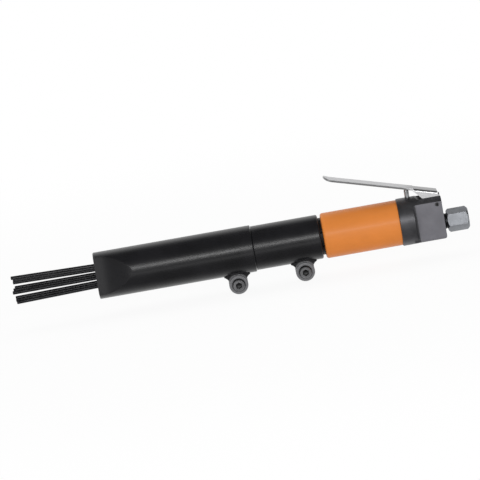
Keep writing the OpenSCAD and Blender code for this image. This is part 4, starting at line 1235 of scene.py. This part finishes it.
class SCALER_OT_throttle_body(ScalerOperator, bpy.types.Operator):
    """Make the throttle body: a round band that steps down to a flat-sided block"""

    bl_idname = "scaler.throttle_body"
    bl_label = "Throttle Body"

    def make(self, scene):
        sizes = scene.scaler_throttle
        tubes = scene.scaler_tubes
        front = CYL_REAR
        block = front + sizes.band_len
        band_end = block + sizes.shoulder
        spigot_r = CYL_R - tubes.chest_wall - tubes.fit
        edge = tubes.rim / 2
        profile = rounded([
            (BODY_SPIGOT, 0), (BODY_SPIGOT, spigot_r, edge), (front, spigot_r), (front, BODY_R, edge),
            (band_end, BODY_R), (band_end, 0)], closed=False)
        body = turned("finished_throttle_body", profile, steps=TUBE_STEPS)
        cross(body, self.band_plan(sizes, block))
        cross(body, self.band_side(sizes, block))
        add(body, self.block(sizes, block))
        cut(body, self.ear_slot(sizes))
        cut(body, bar("pin_hole", -BODY_R, BODY_R, sizes.pin_d / 2, PIVOT, "Y", steps=PIN_STEPS))
        cut(body, self.valve_way(sizes))
        cut(body, self.inlet_way(sizes))
        finish_piece(body, "throttle_body", "housing", "black_body")

    def shoulder_line(self, sizes, block, low):
        """The concave shoulder from a face at a distance from the axis up to the band."""
        centre = Vector((block + sizes.shoulder, low - SKIM + sizes.shoulder))
        return arc(centre, sizes.shoulder, -math.pi / 2, -math.pi, FILLET_STEPS)

    def band_plan(self, sizes, block):
        """The band and its shoulders from above."""
        half = sizes.block_w / 2
        side = [Vector((BODY_REAR, half - SKIM)), *self.shoulder_line(sizes, block, half),
                Vector((block, 2 * BODY_R)), Vector((BODY_SPIGOT - OVERRUN, 2 * BODY_R))]
        outline = side + [Vector((p.x, -p.y)) for p in reversed(side)]
        return plate("band_plan", outline, "Z", BARREL.z - 2 * BODY_R, BARREL.z + 2 * BODY_R)

    def band_side(self, sizes, block):
        """The band and its lower shoulder from the side."""
        drop = BODY_R - sizes.block_step
        under = [Vector((BODY_REAR, drop - SKIM)), *self.shoulder_line(sizes, block, drop),
                 Vector((block, 2 * BODY_R)), Vector((BODY_SPIGOT - OVERRUN, 2 * BODY_R))]
        outline = [Vector((p.x, BARREL.z - p.y)) for p in under]
        outline += [Vector((BODY_SPIGOT - OVERRUN, BARREL.z + 2 * BODY_R)),
                    Vector((BODY_REAR, BARREL.z + 2 * BODY_R))]
        return plate("band_side", outline, "Y", -2 * BODY_R, 2 * BODY_R)

    def block(self, sizes, block):
        """The rear block: flat sides, a round top and rounded lower and rear edges."""
        half = sizes.block_w / 2
        drop = BODY_R - sizes.block_step
        top = BODY_R - SKIM
        reach = math.acos(half / top)
        crown = arc((0, BARREL.z), top, reach, math.pi - reach, CROWN_STEPS)
        lower = rounded([(half, BARREL.z), (half, BARREL.z - drop, sizes.block_edge),
                         (-half, BARREL.z - drop, sizes.block_edge), (-half, BARREL.z)], closed=False)
        outline = [*crown, *reversed(lower)]
        form = plate("block", outline, "X", block - sizes.block_rear, BODY_REAR + OVERRUN)
        corner = sizes.block_rear
        low = BARREL.z - drop - SKIM
        high = BARREL.z + BODY_R + SKIM
        side = rounded([(block - 2 * corner, low), (BODY_REAR, low, corner), (BODY_REAR, high, corner),
                        (block - 2 * corner, high)])
        cross(form, plate("block_side", side, "Y", -2 * half, 2 * half))
        return form

    def ear_slot(self, sizes):
        """The room that the lever's ears sweep, open to the top and the rear."""
        room = sizes.ear_r + sizes.ear_room
        far = 2 * BODY_R
        front = Vector((-sizes.ear_len - sizes.ear_room, sizes.lever_height))
        touch = tangent(front, (0, 0), room, 1)
        low = arc((0, 0), room, touch, 1.5 * math.pi, SLOT_STEPS)
        outline = [front, *low, Vector((far, -room)), Vector((far, far)), Vector((front.x, far))]
        slot = plate("ear_slot", outline, "Y", -sizes.slot_w / 2, sizes.slot_w / 2)
        return shift(turn(slot, sizes.lever_rise - sizes.lever_press, "Y"), PIVOT)

    def valve_way(self, sizes):
        """The stepped hole for the plug, the valve, the plunger and its seal, as one tool."""
        plug_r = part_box("throttle_plug")[1].y + sizes.plug_hole
        rod_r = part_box("throttle_plunger")[1].y + sizes.plug_hole
        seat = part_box("throttle_seat")
        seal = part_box("plunger_seal")
        plug_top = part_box("throttle_plug")[1].z
        room_r = rod_r + sizes.plunger_room
        far = 2 * BODY_R
        line = [(BARREL.z - far, 0), (BARREL.z - far, plug_r), (plug_top, plug_r), (plug_top, seat[1].y),
                (seat[1].z, seat[1].y), (seat[1].z, room_r), (seal[0].z, room_r), (seal[0].z, seal[1].y),
                (seal[1].z, seal[1].y), (seal[1].z, rod_r), (BARREL.z + far, rod_r), (BARREL.z + far, 0)]
        return turned("valve_way", line, PLUNGER, "Z", HOLE_STEPS)

    def inlet_way(self, sizes):
        """The stepped hole for the inlet's neck and its seal, as one tool."""
        neck_r = sizes.neck_d / 2 + sizes.plug_hole
        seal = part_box("inlet_seal")
        line = [(INLET_INNER - OVERRUN, 0), (INLET_INNER - OVERRUN, neck_r), (seal[0].x, neck_r),
                (seal[0].x, seal[1].y), (BODY_REAR + OVERRUN, seal[1].y), (BODY_REAR + OVERRUN, 0)]
        return turned("inlet_way", line, INLET, "X", HOLE_STEPS)


class SCALER_OT_throttle_lever(ScalerOperator, bpy.types.Operator):
    """Make the lever: a blade with a curled tip and two ears folded down round the pin"""

    bl_idname = "scaler.throttle_lever"
    bl_label = "Throttle Lever"

    def make(self, scene):
        sizes = scene.scaler_throttle
        lever = self.blade(sizes)
        soften(lever, sizes.lever_edge, steps=2)
        add(lever, self.ears(sizes))
        reach = sizes.lever_w
        cut(lever, bar("pin_hole", -reach, reach, sizes.pin_d / 2, ORIGIN, "Y", steps=PIN_STEPS))
        shift(turn(lever, sizes.lever_rise, "Y"), PIVOT)
        finish_piece(lever, "throttle_lever", "lever", "lever_steel")

    def blade(self, sizes):
        """The blade along -X, whose round front end curls up."""
        under = sizes.lever_height - sizes.lever_t
        tip = Vector((-sizes.lever_len, under + sizes.curl_r))
        down = -math.pi / 2
        low = arc(tip, sizes.curl_r, down, down - sizes.curl, CURL_STEPS)
        high = arc(tip, sizes.curl_r - sizes.lever_t, down - sizes.curl, down, CURL_STEPS)
        side = [Vector((-sizes.ear_len + sizes.bend, under)), *low, *high,
                Vector((-sizes.ear_len + sizes.bend, sizes.lever_height))]
        half = sizes.lever_w / 2
        blade = plate("finished_throttle_lever", side, "Y", -half, half)
        reach = -sizes.lever_len - sizes.curl_r * math.sin(sizes.curl)
        end = arc((reach + half, 0), half, down, 3 * down, PAD_STEPS)
        plan = [Vector((0, half)), Vector((0, -half)), *end]
        return cross(blade, plate("blade_plan", plan, "Z", 0, sizes.lever_height + sizes.curl_r))

    def ears(self, sizes):
        """The rear channel: the blade's end with both ears folded down, cut to the ears' outline."""
        half = sizes.lever_w / 2
        inner = half - sizes.lever_t
        top = sizes.lever_height
        under = top - sizes.lever_t
        bend = sizes.bend
        low = -2 * sizes.ear_r
        section = rounded([(-half, low), (-half, top, bend), (half, top, bend), (half, low), (inner, low),
                           (inner, under, bend - sizes.lever_t), (-inner, under, bend - sizes.lever_t),
                           (-inner, low)])
        channel = plate("ears", section, "X", -sizes.ear_len, sizes.ear_r)
        front = Vector((-sizes.ear_len, top - sizes.lever_t / 2))
        back = Vector((-sizes.lever_t / 2, top))
        first = tangent(front, (0, 0), sizes.ear_r, 1)
        last = tangent(back, (0, 0), sizes.ear_r, -1)
        pad = arc((0, 0), sizes.ear_r, first, last + math.tau, PAD_STEPS)
        outline = [Vector((front.x, top + OVERRUN)), front, *pad, back, Vector((back.x, top + OVERRUN))]
        cross(channel, plate("ear_outline", outline, "Y", -sizes.lever_w, sizes.lever_w))
        return channel


class SCALER_OT_lever_pin(ScalerOperator, bpy.types.Operator):
    """Make the rolled pin that the lever turns on"""

    bl_idname = "scaler.lever_pin"
    bl_label = "Lever Pin"

    def make(self, scene):
        sizes = scene.scaler_throttle
        low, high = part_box("lever_pin")
        outer = (high.x - low.x) / 2
        inner = outer - sizes.pin_wall
        edge = sizes.pin_wall / 3
        profile = rounded([(low.y, inner), (low.y, outer, edge), (high.y, outer, edge), (high.y, inner)])
        pin = turned_ring("finished_lever_pin", profile, PIVOT, "Y", PIN_STEPS)
        half = sizes.pin_slit / 2
        slit = [(PIVOT.x - half, PIVOT.z - 2 * outer), (PIVOT.x + half, PIVOT.z - 2 * outer),
                (PIVOT.x + half, PIVOT.z), (PIVOT.x - half, PIVOT.z)]
        cut(pin, plate("pin_slit", slit, "Y", 2 * low.y, 2 * high.y))
        finish_piece(pin, "lever_pin", "housing", "dark_steel")


class SCALER_OT_throttle_plunger(ScalerOperator, bpy.types.Operator):
    """Make the domed plunger under the lever"""

    bl_idname = "scaler.throttle_plunger"
    bl_label = "Throttle Plunger"

    def make(self, scene):
        low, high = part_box("throttle_plunger")
        r = (high.y - low.y) / 2
        dome = [(p.y, p.x) for p in arc((0, high.z - r), r, 0, math.pi / 2, FILLET_STEPS)]
        line = [(low.z, 0), (low.z, r - r / 8), (low.z + r / 8, r), *dome]
        plunger = turned("finished_throttle_plunger", line, PLUNGER, "Z", PIN_STEPS)
        finish_piece(plunger, "throttle_plunger", "plunger", "plated_steel")


class SCALER_OT_throttle_plug(ScalerOperator, bpy.types.Operator):
    """Make the socket plug that closes the valve's chamber from below"""

    bl_idname = "scaler.throttle_plug"
    bl_label = "Throttle Plug"

    def make(self, scene):
        clamps = scene.scaler_clamps
        low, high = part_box("throttle_plug")
        plug = bar("finished_throttle_plug", low.z, high.z, high.y, PLUG, "Z", clamps.head_edge, HOLE_STEPS)
        cut(plug, hexagon("socket", socket_r(clamps), 2 * clamps.socket_depth, (PLUG.x, 0, low.z)))
        finish_piece(plug, "throttle_plug", "housing", "dark_steel")


class SCALER_OT_inlet_bushing(ScalerOperator, bpy.types.Operator):
    """Make the hexagonal air inlet with its hose thread"""

    bl_idname = "scaler.inlet_bushing"
    bl_label = "Inlet Bushing"

    def make(self, scene):
        sizes = scene.scaler_throttle
        start = INLET_MOUTH - sizes.hex_len
        corner_r = HEX_SIDE / math.cos(math.pi / 6 - sizes.hex_turn)
        centre = ((start + INLET_MOUTH) / 2, 0, INLET.z)
        inlet = hexagon("finished_inlet_bushing", corner_r, sizes.hex_len, centre, (0, math.pi / 2, 0))
        turn(inlet, math.pi / 6 - sizes.hex_turn, "X", INLET)
        mend(cross(inlet, self.chamfer(sizes, start, corner_r)))
        add(inlet, self.neck(sizes, start))
        cut(inlet, self.thread(sizes))
        finish_piece(inlet, "inlet_bushing", "housing", "hex_steel", smooth=20)

    def chamfer(self, sizes, start, corner_r):
        """Cones that take the hexagon's corners off at both ends."""
        inner, outer = sizes.hex_edge, sizes.hex_mouth
        back = start - OVERRUN
        ahead = INLET_MOUTH + OVERRUN
        line = [(back, 0), (back, corner_r - inner - OVERRUN), (start + 2 * inner, corner_r + inner),
                (INLET_MOUTH - 2 * outer, corner_r + outer), (ahead, corner_r - outer - OVERRUN), (ahead, 0)]
        return turned("chamfer", line, INLET)

    def neck(self, sizes, start):
        """The neck into the body, with a relief groove by the hexagon."""
        r = sizes.neck_d / 2
        deep = r - sizes.thread
        line = rounded([(INLET_INNER, 0), (INLET_INNER, r, sizes.thread), (BODY_REAR + sizes.thread, r),
                        (BODY_REAR + 2 * sizes.thread, deep), (start - sizes.thread, deep),
                        (start, r), (start + OVERRUN, r), (start + OVERRUN, 0)], closed=False)
        return turned("neck", line, INLET)

    def thread(self, sizes):
        """The hose thread's grooves and the way behind it, as one tool."""
        minor = sizes.inlet_bore / 2
        major = minor + sizes.thread
        way = sizes.inlet_way / 2
        end = INLET_MOUTH - sizes.inlet_depth
        line = [(INLET_INNER - OVERRUN, 0), (INLET_INNER - OVERRUN, way), (end - way / 4, way), (end, minor)]
        turns = int((sizes.inlet_depth - 2 * sizes.pitch) / sizes.pitch)
        for k in range(turns):
            low = end + sizes.pitch * (k + 1)
            line += [(low, minor), (low + sizes.pitch * 0.45, major), (low + sizes.pitch * 0.55, major)]
        line += [(INLET_MOUTH - sizes.thread, minor), (INLET_MOUTH + OVERRUN, major + OVERRUN),
                 (INLET_MOUTH + OVERRUN, 0)]
        return turned("thread", line, INLET)


class SCALER_OT_inner_pieces(ScalerOperator, bpy.types.Operator):
    """Finish the inner pieces that keep their own shapes"""

    bl_idname = "scaler.inner_pieces"
    bl_label = "Inner Pieces"

    def make(self, scene):
        for part in frame["record"]["subparts"]:
            node = frame["nodes"][part["node"]]
            if not node.hide_render:
                node.data.materials.clear()
                node.data.materials.append(finish_of(part["material_slot"]))


SENSOR_MM = 36.0
FLOOR_FADE = (0.25, 0.7)

# Where the lights stand from the aim, and their sizes
OVERHEAD = Vector((-0.1, 0.35, 1.2))
OVERHEAD_SIZE = (1.6, 0.9)
STRIP = Vector((0.0, -1.3, 0.43))
STRIP_SIZE = (1.6, 0.15)

# Where reflections change along Y: the floor's bright strip in front, its bright part behind, the backdrop
BRIGHT_START = (-0.34, -0.26)
BRIGHT_END = (-0.15, -0.11)
BEHIND = (-0.03, 0.01)
BACKDROP = (0.35, 0.8)


class SCALER_OT_stage(ScalerOperator, bpy.types.Operator):
    """Set the floor, the soft light and the camera"""

    bl_idname = "scaler.stage"
    bl_label = "Stage"

    def make(self, scene):
        stage = scene.scaler_stage
        scene.view_settings.view_transform = "Standard"
        self.floor(stage)
        self.world(scene, stage)
        self.lamps(stage)
        self.camera(scene, stage)

    def floor(self, stage):
        """A pale floor under the tool, which keeps the tool's shadow."""
        low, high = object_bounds()
        clear_selection()
        bpy.ops.mesh.primitive_plane_add(size=stage.floor, location=((low.x + high.x) / 2, 0, low.z))
        floor = settle(bpy.context.object)
        floor.name = "floor"
        material = bpy.data.materials.new("pale_floor")
        material.use_nodes = True
        tree = material.node_tree
        tree.nodes.clear()
        seen = ray(tree, "Camera")
        mirrored = ray(tree, "Glossy")
        place = place_in(tree)
        centre = ((low.x + high.x) / 2, 0.0, low.z)
        reach = place.add("ShaderNodeVectorMath", {0: place, 1: centre}, out="Value", operation="DISTANCE")
        white = 0.92 + 0.08 * reach.step(*FLOOR_FADE)
        pale = place.noise(40.0).shades(WHITE, 0.86, 0.90)
        matt = pale.add("ShaderNodeBsdfDiffuse", {"Color": pale})
        glow = pale.add("ShaderNodeEmission", {"Color": solid(WHITE), "Strength": 1.0})
        across = place.axis("Y")
        bright = across.step(*BRIGHT_START) * (1.0 - across.step(*BRIGHT_END))
        shade = (1.0 - bright - across.step(*BEHIND)) * (1.0 - stage.card)
        image = pale.add("ShaderNodeEmission", {"Color": shade.shades(WHITE, 1.0, 0.0), "Strength": 1.0})
        own = white * seen + stage.bounce * (1.0 - seen)
        lit = pale.add("ShaderNodeMixShader", {0: own, 1: matt, 2: glow})
        mixed = pale.add("ShaderNodeMixShader", {0: mirrored, 1: lit, 2: image})
        pale.add("ShaderNodeOutputMaterial", {"Surface": mixed})
        floor.data.materials.append(material)
        floor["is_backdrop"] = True

    def world(self, scene, stage):
        """Even light from all round, white to the camera, and in reflections white only behind the tool."""
        world = bpy.data.worlds.new("studio")
        world.use_nodes = True
        tree = world.node_tree
        tree.nodes.clear()
        seen = ray(tree, "Camera")
        mirrored = ray(tree, "Glossy")
        through = ray(tree, "Transmission")
        backdrop = place_in(tree).axis("Y").step(*BACKDROP)
        studio = stage.dim + (1.0 - stage.dim) * backdrop
        plain = stage.fill * (1.0 - seen - mirrored - through)
        strength = plain + seen + (mirrored + through) * studio
        glow = seen.add("ShaderNodeBackground", {"Color": solid(WHITE), "Strength": strength})
        seen.add("ShaderNodeOutputWorld", {"Surface": glow})
        scene.world = world

    def lamps(self, stage):
        """A wide soft light overhead and a strip above the line of sight."""
        aim = Vector(stage.aim)
        overhead = self.lamp("overhead", aim + OVERHEAD, aim, OVERHEAD_SIZE, stage.key)
        overhead.visible_glossy = False
        self.lamp("front_strip", aim + STRIP, aim, STRIP_SIZE, stage.strip)

    def lamp(self, name, place, aim, size, power):
        """One soft area light."""
        clear_selection()
        bpy.ops.object.light_add(type="AREA", location=place)
        lamp = bpy.context.object
        lamp.name = name
        lamp.data.shape = "RECTANGLE"
        lamp.data.size, lamp.data.size_y = size
        lamp.data.energy = power
        lamp.rotation_euler = (aim - place).to_track_quat("-Z", "Y").to_euler()
        return lamp

    def camera(self, scene, stage):
        """The photograph's view: from the side, a little above, with the tool's rear end raised."""
        aim = Vector(stage.aim)
        away = Vector((math.sin(stage.azimuth) * math.cos(stage.elevation),
                       -math.cos(stage.azimuth) * math.cos(stage.elevation), math.sin(stage.elevation)))
        clear_selection()
        bpy.ops.object.camera_add(location=aim + away * stage.distance)
        camera = bpy.context.object
        facing = (-away).to_track_quat("-Z", "Y").to_matrix()
        rolled = facing @ Matrix.Rotation(-stage.roll, 3, "Z")
        camera.rotation_euler = rolled.to_euler()
        camera.data.sensor_width = SENSOR_MM
        camera.data.lens = SENSOR_MM * stage.distance / stage.field
        camera.data.clip_start = stage.distance / 20
        camera.data.clip_end = 4 * stage.floor
        scene.camera = camera


GROUPS = {
    "scaler_tubes": ScalerTubes,
    "scaler_clamps": ScalerClamps,
    "scaler_needles": ScalerNeedles,
    "scaler_throttle": ScalerThrottle,
    "scaler_colours": ScalerColours,
    "scaler_stage": ScalerStage,
}
OPERATORS = (
    SCALER_OT_front_tube,
    SCALER_OT_intermediate_tube,
    SCALER_OT_clamp_screws,
    SCALER_OT_clamp_washers,
    SCALER_OT_needles,
    SCALER_OT_springs,
    SCALER_OT_cylinder,
    SCALER_OT_throttle_body,
    SCALER_OT_throttle_lever,
    SCALER_OT_lever_pin,
    SCALER_OT_throttle_plunger,
    SCALER_OT_throttle_plug,
    SCALER_OT_inlet_bushing,
    SCALER_OT_inner_pieces,
    SCALER_OT_stage,
)


class SCALER_PT_pieces(bpy.types.Panel):
    """Lists the pieces in the sidebar"""

    bl_idname = "SCALER_PT_pieces"
    bl_label = "Needle Scaler"
    bl_space_type = "VIEW_3D"
    bl_region_type = "UI"
    bl_category = "Scaler"

    def draw(self, context):
        for operator in OPERATORS:
            self.layout.operator(operator.bl_idname)


def register():
    """Adds the settings, operators and panel."""
    for name, group in GROUPS.items():
        bpy.utils.register_class(group)
        setattr(bpy.types.Scene, name, PointerProperty(type=group))
    for operator in OPERATORS:
        bpy.utils.register_class(operator)
    bpy.utils.register_class(SCALER_PT_pieces)


def unregister():
    """Takes them away again."""
    bpy.utils.unregister_class(SCALER_PT_pieces)
    for operator in reversed(OPERATORS):
        bpy.utils.unregister_class(operator)
    for name, group in GROUPS.items():
        delattr(bpy.types.Scene, name)
        bpy.utils.unregister_class(group)


def main():
    """Makes every piece in order."""
    register()
    for operator in OPERATORS:
        family, name = operator.bl_idname.split(".")
        getattr(getattr(bpy.ops, family), name)()


if __name__ == "__main__":
    main()
